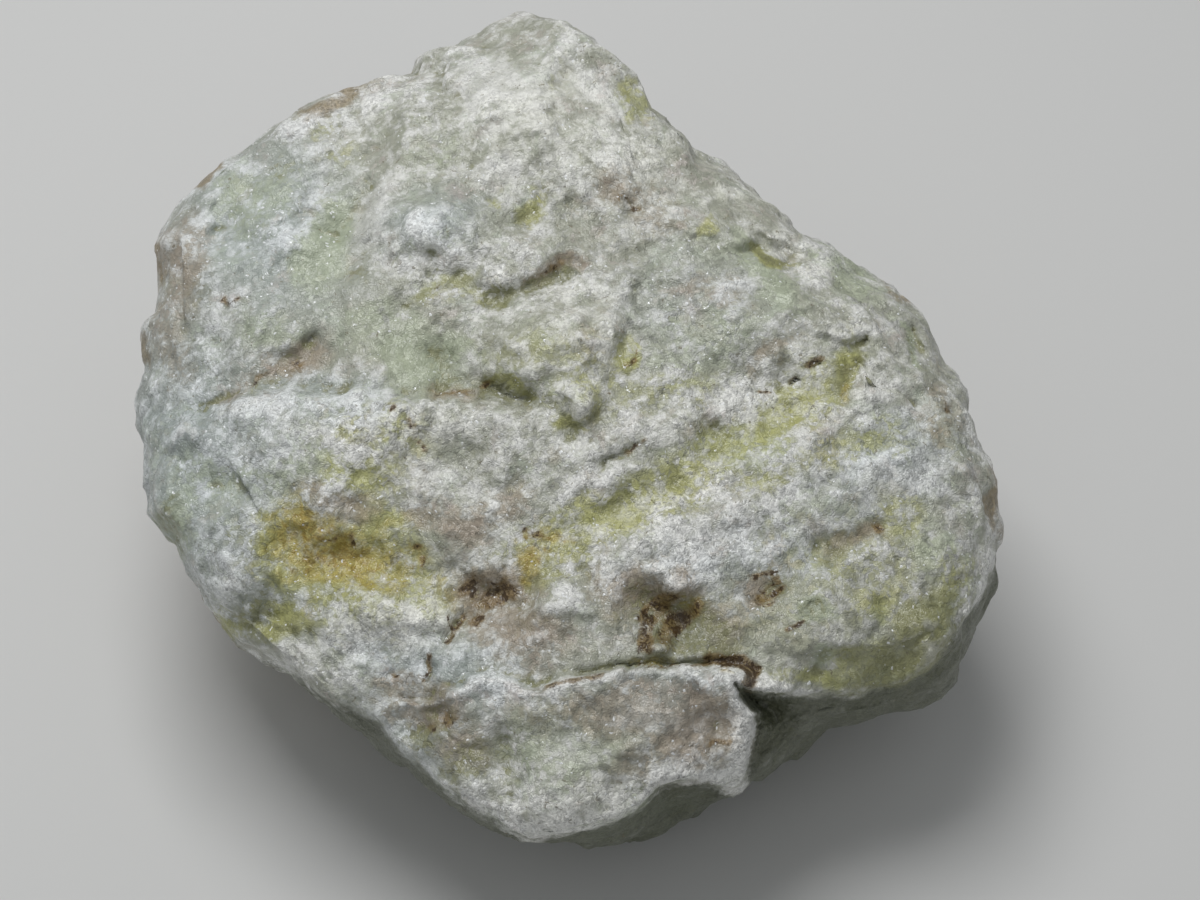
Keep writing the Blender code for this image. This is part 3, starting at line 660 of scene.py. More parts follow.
# %% The stone's mesh and its UV squares
mesh = bpy.data.meshes.new("datolite_surface")
mesh.from_pydata(points * MM, [], quads)
u, v = np.indices((GRID_STEPS, GRID_STEPS))
square = np.stack([np.stack((u + a, v + b), -1) for a, b in ((0, 0), (1, 0), (1, 1), (0, 1))], axis=2)
square = 0.01 + 0.98 * square / GRID_STEPS
charts = [(square + (n % 3, n // 3)) / (3, 2) for n in range(6)]
uv_layer = mesh.uv_layers.new(name="OFBake")
uv_layer.data.foreach_set("uv", np.concatenate([c.reshape(-1, 2) for c in charts]).ravel())
mesh.shade_smooth()
mesh.update()
stone = bpy.data.objects.new("datolite_surface", mesh)
bpy.context.scene.collection.objects.link(stone)
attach(stone, "root")
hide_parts("datolite_stone")
print("Stone mesh:", len(mesh.vertices), "points,", len(mesh.polygons), "quads")

# %% [markdown]
# ## Where each colour lies
# The colours of a stone follow its history: water leaves yellow and brown in the hollows, the
# weathered outside turns tan, and the waxy green shows where the grains are packed. Each stain is
# a list of soft patches: a place, two radii, a strength and, where a patch is turned, its angle.
# The patches' edges are bent by noise, and each list becomes one value per point of the mesh,
# which the material reads. Hollows and raised places are found from the surface itself: a point
# that lies below the average of its neighbours is in a hollow, one above it is raised. The olive of
# the hollows is partly painted shade, and the white of the raised places partly painted light.

# %% Helpers for stains and hollows


def lines(paths):
    """The strongest of a list of thin marks (path, width, strength) at each point: strength times
    exp(-(distance / width)^2)."""
    total = np.zeros(len(points))
    x, y = face_x + 0.25 * (bent_x - face_x), face_y + 0.25 * (bent_y - face_y)
    for path, width, strength in paths:
        distance, _, _ = path_distance(x, y, path)
        total = np.maximum(total, strength * np.exp(-(distance / width) ** 2))
    return total


def give(name, values):
    """Stores one value from 0 to 1 per point of the mesh under a name, and prints its mean."""
    layer = mesh.attributes.new(name, "FLOAT", "POINT")
    layer.data.foreach_set("value", np.clip(values, 0, 1).astype(np.float32))
    print("Attribute", name, "mean", round(float(np.mean(values)), 3))


edges = np.empty((len(mesh.edges), 2), np.int64)
mesh.edges.foreach_get("vertices", edges.ravel())
normals = np.empty((len(points), 3))
mesh.vertices.foreach_get("normal", normals.ravel())
neighbours = np.bincount(edges.ravel(), minlength=len(points))


def blurred(values, rounds):
    """Each point's values averaged with its neighbours', a number of times."""
    for _ in range(rounds):
        total = np.column_stack([
            np.bincount(edges[:, 0], values[edges[:, 1], n], len(points))
            + np.bincount(edges[:, 1], values[edges[:, 0], n], len(points))
            for n in range(values.shape[1])
        ])
        values = 0.5 * values + 0.5 * total / neighbours[:, None]
    return values


# %% Hollows and raised places, with painted shade and painted light
small_scale, large_scale = (
    np.einsum("ij,ij->i", blurred(points, rounds) - points, normals) for rounds in (6, 90)
)
# Painted shade, with some olive stain: places that lie below their neighbours are darkened, and the listed
# patches darken more where the face lies in shadow, along the slab's lower left edge, at the lower left
# rim and in and right of the brown hollow.
hollow = smooth_step(0.9 * small_scale + 0.55 * large_scale, 0.02, 0.55)
hollow = np.maximum(hollow, patches((
    (-25.8, -14.8, 2.4, 1.5, 0.9, -20), (-27.5, -15.6, 1.6, 1.6, 0.7), (-33, 13.2, 1.6, 1.2, 0.4),
    (29.4, -13, 1.2, 2.8, 0.9, -25), (25, -17.9, 5.8, 1.8, 1.3, 24), (18.2, -12.8, 0.6, 0.4, 0.8),
    (18.7, -17.2, 1.2, 0.6, 0.8), (23, -13.4, 0.7, 0.9, 0.7), (19.2, -8.4, 1.8, 0.9, 0.8, 30),
    (-7, 5, 3, 0.7, 0.75, -12), (14.3, 16.3, 2.2, 0.5, 1.1, -18), (10.4, 19.4, 0.5, 0.8, 0.6),
    (20.6, 6.2, 1.7, 0.8, 1.1, 30), (21.7, 7.6, 0.6, 1.8, 1.1, -20), (25.8, 9.2, 0.45, 1.3, 0.9, 28),
    (-20.4, 15.5, 0.9, 1.1, 0.7, -30), (-9, 13, 1.8, 0.7, 0.9), (-14, 13.4, 2.8, 0.7, 0.7, 33),
    (-26.7, 23.5, 1.4, 0.9, 0.5), (-2.4, 2.4, 1.1, 0.6, 0.7, 20), (27.3, 6.5, 0.4, 1.8, 0.5, 30),
    (27.6, -14.6, 2.6, 4, 1.4, -35), (9.4, -15.2, 3.2, 2.1, 1.35, -10), (-14.8, -23.4, 2.2, 3.4, 0.9, -35),
    (-11.4, -26.4, 1.8, 4, 0.9, -38), (-35.6, -6.4, 1, 3, 0.8), (-6.4, -14.6, 2.6, 1.2, 0.45),
    (5.8, -14, 3.8, 2.7, 1.25, -10), (-29, -13, 1.6, 1.2, 0.7, -30),
)))
# Painted light, with white crumbs: places that stand above their neighbours are whitened, and the listed
# patches whiten more where the face would lie too dark, on the top horn and beside the ochre groove.
raised_crumbs_and_light = smooth_step(-0.9 * small_scale - 0.40 * large_scale, 0.02, 0.45)
raised_crumbs_and_light = np.maximum(raised_crumbs_and_light, patches((
    (-18.6, 19.6, 2, 3.6, 1.2, -20), (-8, 22.8, 3, 2.2, 0.9), (-9.4, 30.6, 4.4, 2.4, 1.1),
    (-2.6, 31, 2.4, 2.2, 1.1), (-15, -1.4, 3, 2, 1), (2, 18.8, 2.6, 2.2, 0.8),
    (24.8, -2.2, 4.2, 2, 1.2, 20), (-11.2, 6.8, 2, 1.5, 1), (-13.6, 1.6, 3.6, 1.8, 0.9),
    (-22, -5.6, 3, 1.6, 0.8), (4, -22.4, 4.6, 1.6, 0.8), (-2.4, -25, 3.2, 2.6, 0.8),
    (11.4, 4.4, 3, 2.4, 0.7), (-18.6, -14.8, 5, 1.8, 1, 8), (18.4, -6.2, 3.4, 1.2, 0.9, 25),
)))
give("hollow", hollow)
give("raised_crumbs_and_light", raised_crumbs_and_light)

# %% Ochre, yellow-green, cool green and waxy grey
give("ochre", patches((
    (-22.2, -8.9, 5.4, 2.4, 1, -8), (-24.4, -7.2, 3.2, 2.6, 0.95), (-17.2, -9.6, 3.6, 1.8, 0.55, -8),
    (-20, -6.9, 4.2, 1.1, 0.45), (-5, -7.3, 1.7, 0.7, 0.9), (-5.8, -9.8, 1, 1.5, 0.9),
    (7.2, -12.8, 1.6, 1.6, 0.6), (-3.4, -7.9, 1.4, 0.6, 0.7, 20), (-13.2, -11.6, 2.2, 1.2, 0.35),
    (20.6, 5.2, 0.8, 1.2, 0.6), (11, -18, 3.6, 0.5, 0.4), (4, -16.9, 2.8, 0.7, 0.5),
)))
VALLEY = (
    (-5.4, -9), (-2, -7.2), (0, -5.2), (3.4, -4.1), (6.7, -2.6), (9.7, 0), (13.3, 1.6), (16.9, 3.8),
)
give("yellow", np.maximum(0.75 * lines(((VALLEY, 2.3, 1),)), patches((
    (-27.2, -8.6, 2.6, 3.4, 0.8), (-19, -6, 4.4, 1.6, 0.8), (-22, -9.4, 8, 4.2, 0.7, -8),
    (27, -14.6, 2.2, 2.8, 0.6, -35), (20, -8.6, 8, 5, 0.3), (15, -13.5, 9, 3.6, 0.18),
    (-5, 8.3, 6.8, 2.9, 0.28, 12), (-1.4, 5.6, 2.2, 3, 0.42), (-18.3, 1.7, 4.4, 2.6, 0.6),
    (-19.4, -1.9, 3.4, 2.2, 0.6), (-14.2, -12.4, 2.8, 2, 0.7), (-19.2, -13.8, 5.5, 2.6, 0.5, 8),
    (1.6, -5, 4.2, 1.8, 0.95, 28), (16.7, 4, 4.8, 2.4, 0.7, 28), (20.9, 7, 1.3, 2.4, 1, -15),
    (24.5, -17.6, 5.6, 1.9, 0.55, 14), (29, -12, 1.9, 4, 0.55, -20), (18, -19.4, 4.5, 1.1, 0.6),
    (23.3, -12.4, 3, 2.2, 0.55), (-26.5, -14, 2.6, 1.8, 1), (-30, -13.8, 2.8, 1, 0.7, -30),
    (-7, 5, 3.4, 0.7, 0.9, -12), (-10.2, 13.1, 2.6, 0.8, 0.45), (-13.6, 13.6, 2.8, 0.9, 0.4, 33),
    (-5.7, 20, 2, 0.7, 0.6, 42), (-8.4, 19.8, 0.8, 0.7, 0.5), (-3.1, 30.8, 1.7, 0.5, 0.6, 55),
    (14.6, 16.1, 2.2, 0.6, 1, -18), (2.9, 29.4, 1.7, 1.6, 0.5), (-2.3, 2.6, 1.4, 0.9, 1),
    (1.8, 7.4, 0.9, 2.2, 0.7), (8.8, 19, 0.7, 1, 0.6), (25, -5, 2.5, 2, 0.5),
    (14.2, -2.4, 3.4, 1.4, 0.55, 25), (-23, 26.6, 2, 1.2, 0.35, 30), (6, 5, 6, 2, 0.3, 15),
    (21, 0.5, 5.5, 1.6, 0.45, 5), (-8, -8, 2, 1, 0.3), (-21.5, 24.5, 2.4, 1, 0.3, 30),
))))
give("green", patches((
    (-23, 17.4, 2.2, 3.6, 1, -20), (-14.2, 17.2, 2.8, 0.9, 0.5, 10), (20.6, 15, 3.4, 1.8, 0.9, -38),
    (26, 9, 0.6, 2.4, 1, 22), (-29.2, 20.8, 3.4, 2.6, 0.6, 30), (-33.3, -2.5, 4.4, 4, 0.35),
    (-35.2, -6.6, 1.5, 2.6, 0.9), (-25, -1.9, 5.6, 2.6, 0.6), (8.3, 9.2, 6.6, 2.6, 0.35, 15),
    (-3.3, -24.2, 5.5, 4.4, 0.45), (28.8, -14.2, 1.4, 3.4, 0.8, -30), (3.6, -30.2, 5, 1.6, 0.9, 25),
    (12.4, 0.4, 4.6, 2.6, 0.8, 25), (-13.8, 25.2, 2.5, 3.4, 0.4), (18.2, -12.8, 1, 0.8, 0.9),
    (18.7, -17.2, 1.4, 0.9, 0.8), (23, -13.4, 1, 1.2, 0.8), (-27.5, 10.5, 3, 2, 0.4),
    (27.6, -8, 2, 2.6, 0.5), (28.8, 1.2, 1, 3, 0.6, 15), (-19, 10.5, 3.4, 2.2, 0.5),
    (-15, 8, 4.6, 2.6, 0.9, -15), (13.4, 14.8, 4.4, 1.8, 0.7, -38), (24.6, -18.6, 5, 1.2, 0.6, 14),
)))
give("waxy_and_shade", waxy_and_shade)
give("even", patches((
    (-4, 29, 9, 8, 1), (-29, 18.5, 7, 7, 0.9, 30), (-22, 17, 4, 5, 0.9), (-18, 24, 6, 5, 0.9),
    (11, 20, 9, 3, 0.7, -43), (-14.6, 18.9, 4, 3, 0.6, 12), (14, 13.5, 6, 3.4, 0.7, -38),
    (0, 20, 6, 5, 0.4), (-5, 9, 6, 3, 0.6, 12), (-17, 8, 5, 3, 0.8),
)))
give("cream", patches((
    (-4, 27, 7, 5, 0.7), (11.5, 21, 9.5, 1.6, 1, -43), (6, 24, 5, 4, 0.8, -40), (-4.5, 9, 7.5, 3.6, 1, 12),
    (-17, -13.8, 9, 3, 0.8, 5), (-14, 2, 6, 3, 0.6), (-1.4, 4, 2.4, 3, 0.9), (20, 5, 4, 5, 0.7),
    (14, -16, 12, 4, 0.6), (26, 4, 2.5, 5, 0.5, 20), (-19, 21, 4, 5, 0.4, -20), (8, 1, 6, 2.6, 0.5, 28),
    (-2, -29, 5, 2.6, 0.5),
)))
give("cool", patches((
    (-34.5, -1, 8, 13, 1), (-28.5, 18.5, 8, 8, 0.9, 20), (-24, 4.4, 8, 2.2, 0.7),
    (-13.8, 19, 4.4, 2.4, 0.8, 10), (24, -1, 6, 3.6, 0.7, 20), (-16, -24, 6, 3, 0.7, -35),
    (-27, -9, 6, 6, 0.7), (10, -9, 9, 2.2, 0.5, 15), (8, 12, 6, 4, 0.35), (6, -20, 7, 2, 0.6),
    (-14, -18.2, 8, 2.6, 0.9, -10), (15, -9, 6, 3, 0.5, 20),
)))

# %% Lilac grains with a patch of painted shade, brown specks and cracks
# Most of these patches are lilac grains; the one right of the brown hollow darkens a spot in the lump's
# shadow, and is painted shade.
give("lilac_and_shade", patches((
    (-3.3, 14.9, 2.9, 0.9, 0.9, 20), (1.9, 22.4, 2.6, 2, 0.7, -30), (4.2, 19.6, 2.4, 2.4, 0.5),
    (-21.7, -4.3, 3, 1.7, 0.7), (-10.6, -6.2, 2.2, 1.6, 0.8), (-8.9, -11.7, 3.8, 2.5, 1, 20),
    (-14.6, -5.4, 2.4, 1.5, 0.55), (-7.5, -4.2, 2.6, 1.3, 0.5), (3, -11.8, 3.9, 2.2, 0.9),
    (6.4, -11, 2.9, 1.9, 1.1), (10.2, -14.4, 2.2, 2, 0.5), (13.3, -11.3, 2.2, 1.4, 0.7, 20),
    (-17.1, -20, 3, 2.2, 0.55), (8.6, -23.2, 4.2, 3.2, 0.9), (2, -21.8, 8, 2.4, 0.5),
    (0.8, -20.8, 5, 1.4, 0.55), (-25, 7.6, 2.8, 1.9, 0.75, 20), (-34.8, 15.2, 2.2, 3.6, 0.6),
    (-14.2, -21.7, 2.4, 1.5, 0.8, 20), (21.2, -6.6, 3, 1, 0.7, 30), (-4.6, -0.6, 2.4, 1.2, 0.3),
    (9, 13, 4, 1.4, 0.4, -15), (28.6, 2.2, 1.6, 3, 0.45), (14.6, 7.4, 3.4, 1, 0.5, 30),
    (-12.2, 4.9, 2.2, 0.9, 0.7, -20), (-7, -15.6, 4.2, 2.6, 0.75), (-35.4, 10, 1.8, 6, 0.35),
    (-11.8, -24.6, 2.8, 2.4, 0.5, -30), (3.4, -26.4, 3.4, 2.4, 0.4), (-30, 5.4, 3, 1, 0.4, 30),
)))
give("rust", on_face * np.maximum(patches((
    (-17.8, 3.5, 0.55, 0.45, 1), (-31, 11.9, 0.45, 0.35, 1), (-22.9, -4.2, 0.45, 0.3, 0.9),
    (-20.8, -7.6, 0.6, 0.5, 0.9), (-22.7, -7.3, 0.9, 0.4, 0.8, 20), (-24.2, -9, 0.6, 0.45, 0.8),
    (-15.4, -8.9, 0.6, 0.4, 0.9), (-14.5, -9.9, 0.5, 0.4, 0.9), (-25.6, 7, 1.3, 0.7, 0.8, -30),
    (-27.8, 5.9, 1, 0.4, 0.7, 20), (-10.2, -14.4, 0.8, 0.6, 1), (-8.4, -12.6, 2.4, 1.3, 0.85, 20),
    (-10.6, -11.4, 1.3, 0.8, 0.8, 60), (4.6, -13.6, 1, 1.2, 0.9), (6.2, -14.4, 1.6, 1.2, 0.95, 20),
    (5.2, -11.9, 1.3, 0.7, 0.8), (7.9, -13.4, 0.8, 1, 0.8), (3.6, -15.4, 0.6, 1, 0.9),
    (29.2, 3.4, 0.5, 0.4, 0.9), (-17.8, -18.9, 0.5, 0.5, 1), (10.5, -24.4, 0.4, 0.35, 1),
    (2.2, 21.3, 0.4, 0.3, 0.8), (2.7, 20.6, 0.4, 0.25, 0.8), (-36.3, 5.5, 0.3, 0.3, 0.9),
    (-12.9, 5.2, 1.2, 0.5, 0.8, -20), (-9.8, 5.2, 0.7, 0.5, 0.9), (14.4, -12, 1.2, 0.8, 0.7),
    (-15.8, 2, 0.5, 1.2, 0.5, 10), (2.1, 10.1, 0.35, 0.5, 0.8), (1.9, 7.3, 0.25, 0.5, 0.8),
    (0.9, 5.2, 0.4, 0.3, 0.9), (-13.4, -22.2, 1.2, 0.8, 0.6, 30), (-3.8, 14.6, 0.9, 0.4, 0.7, 20),
    (23, -5.8, 0.8, 0.5, 0.7),
)), lines((
    (((-4.6, -19.6), (-2.6, -19.2), (0, -18.6)), 0.22, 0.8),
    (((3.3, -17.8), (7, -18), (11.7, -17.7)), 0.2, 0.7),
    (((9.2, -17.3), (11.7, -17.5), (13, -18.2), (12.7, -19.4)), 0.6, 1.3),
    (((-11.4, -13.8), (-12.2, -15), (-12.8, -16)), 0.24, 1),
    (((-12.8, -13.8), (-12.2, -15)), 0.2, 0.9),
    (((-14.2, -17.1), (-14.3, -18.3), (-14.9, -19.4)), 0.24, 1),
    (((15.8, -14.9), (17.2, -14)), 0.24, 0.9),
    (((12.9, -10.4), (14.6, -10.2), (15.3, -11.4), (14.4, -12.6)), 0.32, 0.9),
    (((2, -0.3), (3.8, 1)), 0.22, 0.8), (((17.4, 6.9), (18.5, 7.6)), 0.28, 1),
    (((15.7, 5.5), (16.3, 6.1)), 0.22, 1), (((13.2, 4.8), (14, 4.6)), 0.2, 0.9),
    (((-31, 11.9), (-29.8, 12.4)), 0.2, 0.7), (((-16, 1.8), (-14.6, 0.2)), 0.2, 0.6),
    (((-6.2, -6.6), (-5, -7.2)), 0.3, 0.9), (((0, -12), (3.4, -12.4)), 0.3, 0.4),
    (((3.3, -16.4), (3.5, -13.8), (4.6, -12.4)), 0.35, 0.9),
))))

# %% The weathered rind, and painted shade on the shaded side
behind = smooth_step(points[:, 1] - 0.5 * points[:, 0], -14.0, 14.0)
rind = hidden * (0.35 + 0.65 * behind) * smooth_step(layered_noise(points, 9.0, 401, 4), -0.9, 0.3)
rind_edges = patches((
    (-22.3, 29.2, 4.2, 1.3, 1.5, 21), (-32.6, 22.6, 2, 0.9, 1.3, 40), (-36.9, 15.6, 1.2, 3, 0.9, -8),
    (-37.6, 8.4, 1, 2, 0.8), (32.8, -4.4, 0.7, 3.8, 1, 12), (24.6, 13.2, 2.6, 0.35, 0.6, -35),
))
give("rind", np.maximum(rind, rind_edges * (1 - 0.5 * on_face)))
# Painted shade: past the face's lower right edge, and on the underside towards the viewer, the surface is
# coloured dark olive because it lies in the stone's own shade.
shaded = smooth_step(beyond_edge(face_x, face_y), 0.0, 0.9)
give("side", np.maximum(shaded, 0.8 * hidden * (1 - behind)))

# %% [markdown]
# ## Node groups: parts of a material that are used more than once
# A stain is always the same recipe: take a mask, roughen its edge with fine noise, and mix a
# colour in where the result is high. Built once as a group, it is placed for every stain with
# its own colour. The grain group parts space into cells, one for each crystal grain, and gives
# every cell a height, a tone and a tilted facet. It is placed at three sizes.

# %% Helpers that build node trees


def new_group(name, inputs, outputs):
    """An empty shader node group, with the kinds of its sockets by name."""
    group = bpy.data.node_groups.new(name, "ShaderNodeTree")
    for in_out, sockets in (("INPUT", inputs), ("OUTPUT", outputs)):
        for label, kind in sockets.items():
            group.interface.new_socket(label, in_out=in_out, socket_type="NodeSocket" + kind)
    into, out = group.nodes.new("NodeGroupInput"), group.nodes.new("NodeGroupOutput")
    return group, into.outputs, out.inputs


def node(kind, inputs=None, settings=None, tree=None):
    """The outputs of a new node, with input values or links by the name or number of the socket,
    and settings by property name. It is made in the tree that its first link comes from."""
    inputs = inputs or {}
    linked = [key for key, value in inputs.items() if isinstance(value, bpy.types.NodeSocket)]
    tree = tree or inputs[linked[0]].id_data
    made = tree.nodes.new("ShaderNode" + kind)
    for key, value in (settings or {}).items():
        setattr(made, key, value)
    for key, value in inputs.items():
        if key in linked:
            tree.links.new(value, made.inputs[key])
        else:
            made.inputs[key].default_value = value
    return made.outputs


def maths(operation, *values):
    """The result of a Math node: one operation on numbers or sockets."""
    return node("Math", dict(enumerate(values)), {"operation": operation})[0]


def vector_maths(operation, *values):
    """The outputs of a Vector Math node: one operation on vectors or sockets."""
    return node("VectorMath", dict(enumerate(values)), {"operation": operation})


def swing(value, middle, share):
    """How far a value lies from its middle, times a share."""
    return maths("MULTIPLY", maths("SUBTRACT", value, middle), share)


def eased(value, low, high):
    """A value eased from 0 at low to 1 at high by a Map Range node."""
    inputs = {"Value": value, "From Min": low, "From Max": high}
    return node("MapRange", inputs, {"interpolation_type": "SMOOTHSTEP"})[0]


def mixed(factor, first, second, blend="MIX"):
    """Two colours mixed by a factor with a Mix node."""
    settings = {"data_type": "RGBA", "blend_type": blend}
    return node("Mix", {0: factor, 6: first, 7: second}, settings)[2]


# %% The stain group
stain_group, into, out = new_group(
    "Stain",
    {"Base": "Color", "Stain": "Color", "Mask": "Float", "Breakup": "Float", "Raggedness": "Float",
     "Start": "Float", "Full": "Float", "Most": "Float"},
    {"Color": "Color", "Amount": "Float"},
)
ragged = swing(into["Breakup"], 0.5, into["Raggedness"])
amount = eased(maths("ADD", into["Mask"], ragged), into["Start"], into["Full"])
amount = maths("MULTIPLY", amount, eased(into["Mask"], 0.02, 0.3))
amount = maths("MULTIPLY", amount, into["Most"])
stain_group.links.new(mixed(amount, into["Base"], into["Stain"]), out["Color"])
stain_group.links.new(amount, out["Amount"])
print("Stain group nodes:", len(stain_group.nodes))

# %% The grain group
CREST_SHARE = 0.6
grain_group, into, out = new_group(
    "Sugar grain",
    {"Vector": "Vector", "Grains per metre": "Float"},
    {"Height": "Float", "Fleck": "Float", "Facet": "Float"},
)
where = {"Vector": into["Vector"], "Scale": into["Grains per metre"]}
cells = node("TexVoronoi", where, {"feature": "F1"})
powder = node("TexNoise", {**where, "Detail": 1.0})[0]
crests = maths("SUBTRACT", 1.0, cells["Distance"])
height = node("Mix", {0: CREST_SHARE, 2: powder, 3: crests}, {"data_type": "FLOAT"})[0]
fleck = node("SeparateColor", {"Color": cells["Color"]})[0]
from_centre = vector_maths("SUBTRACT", into["Vector"], cells["Position"])[0]
lean = vector_maths("SUBTRACT", cells["Color"], (0.5,) * 3)[0]
facet = vector_maths("DOT_PRODUCT", from_centre, lean)["Value"]
for value, label in ((height, "Height"), (fleck, "Fleck"), (facet, "Facet")):
    grain_group.links.new(value, out[label])
print("Grain group nodes:", len(grain_group.nodes))

# %% [markdown]
# ## The datolite itself
# The base is a mottle of two materials: white sugary crumbs that scatter light and look chalky,
# and packed grey-green grains that look like wax. The mask between them comes from noise at four
# sizes and from four values of the points: raised places are crumbly and white, partly as painted
# light, while hollows, waxy places and even places are packed and darker, the hollows partly as
# painted shade. On even places, where the stone broke smoothly, the grain is calmer too. The wax
# look is made by colour and gloss alone, because light that scatters under so rough a surface
# hardly shows. The stains go over the base in the order in which nature laid them down, with
# painted shade for the hollows and the shaded side among them. They could be painted on a picture
# instead, but formulas stay sharp however close the camera comes.

# %% Coordinates, noises and masks
WOBBLE_SIZE = 0.9
WOBBLE_REACH = 0.6
STREAK_SQUEEZE = 0.4
GRAIN_SIZES = (0.17, 0.42, 0.85)
stone_material = bpy.data.materials.new("Datolite")
stone_material.use_nodes = True
tree = stone_material.node_tree
shader = tree.nodes["Principled BSDF"]
coordinates = node("TexCoord", tree=tree)["Object"]


def noise(size_mm, detail, distortion=0.0, roughness=0.55, vector=coordinates):
    """Noise of one feature size in millimetres, from 0 to 1."""
    inputs = {"Vector": vector, "Scale": 1 / (size_mm * MM), "Detail": detail,
              "Distortion": distortion, "Roughness": roughness}
    return node("TexNoise", inputs)[0]


def mask(name):
    """A value stored on the points of the mesh."""
    return node("Attribute", settings={"attribute_name": name}, tree=tree)["Fac"]


def grain(size_mm):
    """The grain group placed for one grain size in millimetres."""
    inputs = {"Vector": uneven, "Grains per metre": 1 / (size_mm * MM)}
    return node("Group", inputs, {"node_tree": grain_group})


def stain(*values):
    """The stain group placed on its inputs in their order: the base, the stain's colour, its mask,
    the breakup, the raggedness, the start, the full level and the most that it may cover. Gives
    the new colour and how much was stained."""
    return node("Group", dict(enumerate(values)), {"node_tree": stain_group})


wobble_inputs = {"Vector": coordinates, "Scale": 1 / (WOBBLE_SIZE * MM), "Detail": 1.0}
wobble = node("TexNoise", wobble_inputs)["Color"]
uneven = vector_maths("MULTIPLY_ADD", wobble, (WOBBLE_REACH * MM,) * 3, coordinates)[0]
turned = node("Mapping", {"Vector": coordinates, "Rotation": (0, 0, -GRAIN_DIRECTION)})[0]
streak_vector = node("Mapping", {"Vector": turned, "Scale": (STREAK_SQUEEZE, 1, 1)})[0]
broad = noise(8.0, 2.0, 0.6)
mottle = noise(1.7, 5.0, 0.3, 0.69)
tint = noise(3.4, 5.0, 0.6, 0.62)
streaks = noise(1.6, 4.0, 0.25, 0.65, streak_vector)
bands = noise(4.2, 4.0, 0.4, 0.62, streak_vector)
threads = noise(0.34, 2.0, 0.0, 0.6, streak_vector)
fine = noise(0.6, 3.0, 0.4, 0.65)
sugar, lumps, crumbs = (grain(size_mm) for size_mm in GRAIN_SIZES)
speckle = maths("MULTIPLY", maths("ADD", fine, lumps["Fleck"]), 0.5)
speckle = maths("MULTIPLY_ADD", maths("SUBTRACT", mottle, 0.5), 0.6, speckle)
print("Nodes with the noises:", len(tree.nodes))

# %% White crumbs and grey-green wax
WHITE = (0.82, 0.82, 0.79, 1)
CREAM = (0.83, 0.83, 0.75, 1)
COOL_WHITE = (0.79, 0.83, 0.84, 1)
WAX_GREY = (0.38, 0.39, 0.31, 1)
COOL_WAX = (0.36, 0.405, 0.385, 1)
MINT = (0.50, 0.56, 0.46, 1)
PALE_LILAC = (0.54, 0.47, 0.45, 1)
packed = mottle
# Hollows count as more packed and darker, partly as painted shade, and raised places as whiter, partly as
# painted light.
for part, share in (
    (broad, 0.8), (streaks, 0.5), (bands, 0.5), (mask("hollow"), 0.24), (mask("raised_crumbs_and_light"), -0.16),
    (mask("waxy_and_shade"), 0.25), (mask("even"), 0.07),
):
    packed = maths("MULTIPLY_ADD", part, share, packed)
white = mixed(mask("cool"), mixed(mask("cream"), WHITE, CREAM), COOL_WHITE)
wax_colour = mixed(mask("cool"), WAX_GREY, COOL_WAX)
colour, wax = stain(white, wax_colour, packed, speckle, 0.3, 1.16, 1.6, 0.95)
mint_places = noise(5.2, 5.0, 0.5, 0.66)
lilac_places = noise(4.1, 5.0, 0.5, 0.68)
colour, _ = stain(colour, MINT, mint_places, speckle, 0.3, 0.52, 0.74, 0.45)
colour, _ = stain(colour, PALE_LILAC, lilac_places, speckle, 0.3, 0.53, 0.78, 0.55)
between = maths("MULTIPLY", maths("ADD", tint, speckle), 0.33)
between = maths("MULTIPLY_ADD", wax, 0.35, between)
print("Nodes with the base:", len(tree.nodes))

# %% The stains, from the first laid down to the last
speck_places = eased(noise(0.55, 3.0, 0.5, 0.7), 0.60, 0.72)
speck_places = maths("ADD", speck_places, maths("SUBTRACT", tint, 0.75))
for tone, place, breakup, raggedness, start, full, most in (
    ((0.45, 0.50, 0.36, 1), mask("green"), between, 1.4, 0.0, 1.1, 0.8),
    ((0.44, 0.44, 0.16, 1), mask("yellow"), between, 1.3, 0.05, 1.05, 0.88),
    # Lilac grains, and one patch of painted shade right of the brown hollow.
    ((0.37, 0.30, 0.23, 1), mask("lilac_and_shade"), between, 1.3, 0.0, 1.0, 0.75),
    # Olive in the hollows: partly stain, partly painted shade.
    ((0.24, 0.24, 0.12, 1), mask("hollow"), speckle, 1.2, 0.35, 1.15, 0.85),
    # White on raised places: crumbs, and partly painted light.
    (WHITE, mask("raised_crumbs_and_light"), fine, 1.0, 0.35, 1.2, 0.5),
    ((0.48, 0.40, 0.115, 1), mask("ochre"), mottle, 2.2, 0.1, 1.0, 0.88),
    ((0.33, 0.225, 0.048, 1), mask("ochre"), fine, 2.8, 0.6, 1.3, 0.8),
    # Painted shade: dark olive on the shaded side and the underside towards the viewer.
    ((0.11, 0.12, 0.075, 1), mask("side"), mottle, 1.8, 0.1, 0.9, 0.9),
    ((0.30, 0.235, 0.135, 1), mask("rind"), mottle, 1.2, 0.25, 0.75, 0.85),
    ((0.19, 0.16, 0.10, 1), speck_places, threads, 0.6, 0.2, 0.7, 0.7),
    ((0.23, 0.15, 0.055, 1), mask("rust"), mottle, 2.2, 0.15, 0.8, 0.8),
    ((0.06, 0.033, 0.012, 1), mask("rust"), fine, 3.0, 0.6, 1.0, 0.9),
):
    colour, stained = stain(colour, tone, place, breakup, raggedness, start, full, most)
print("Nodes with the stains:", len(tree.nodes))

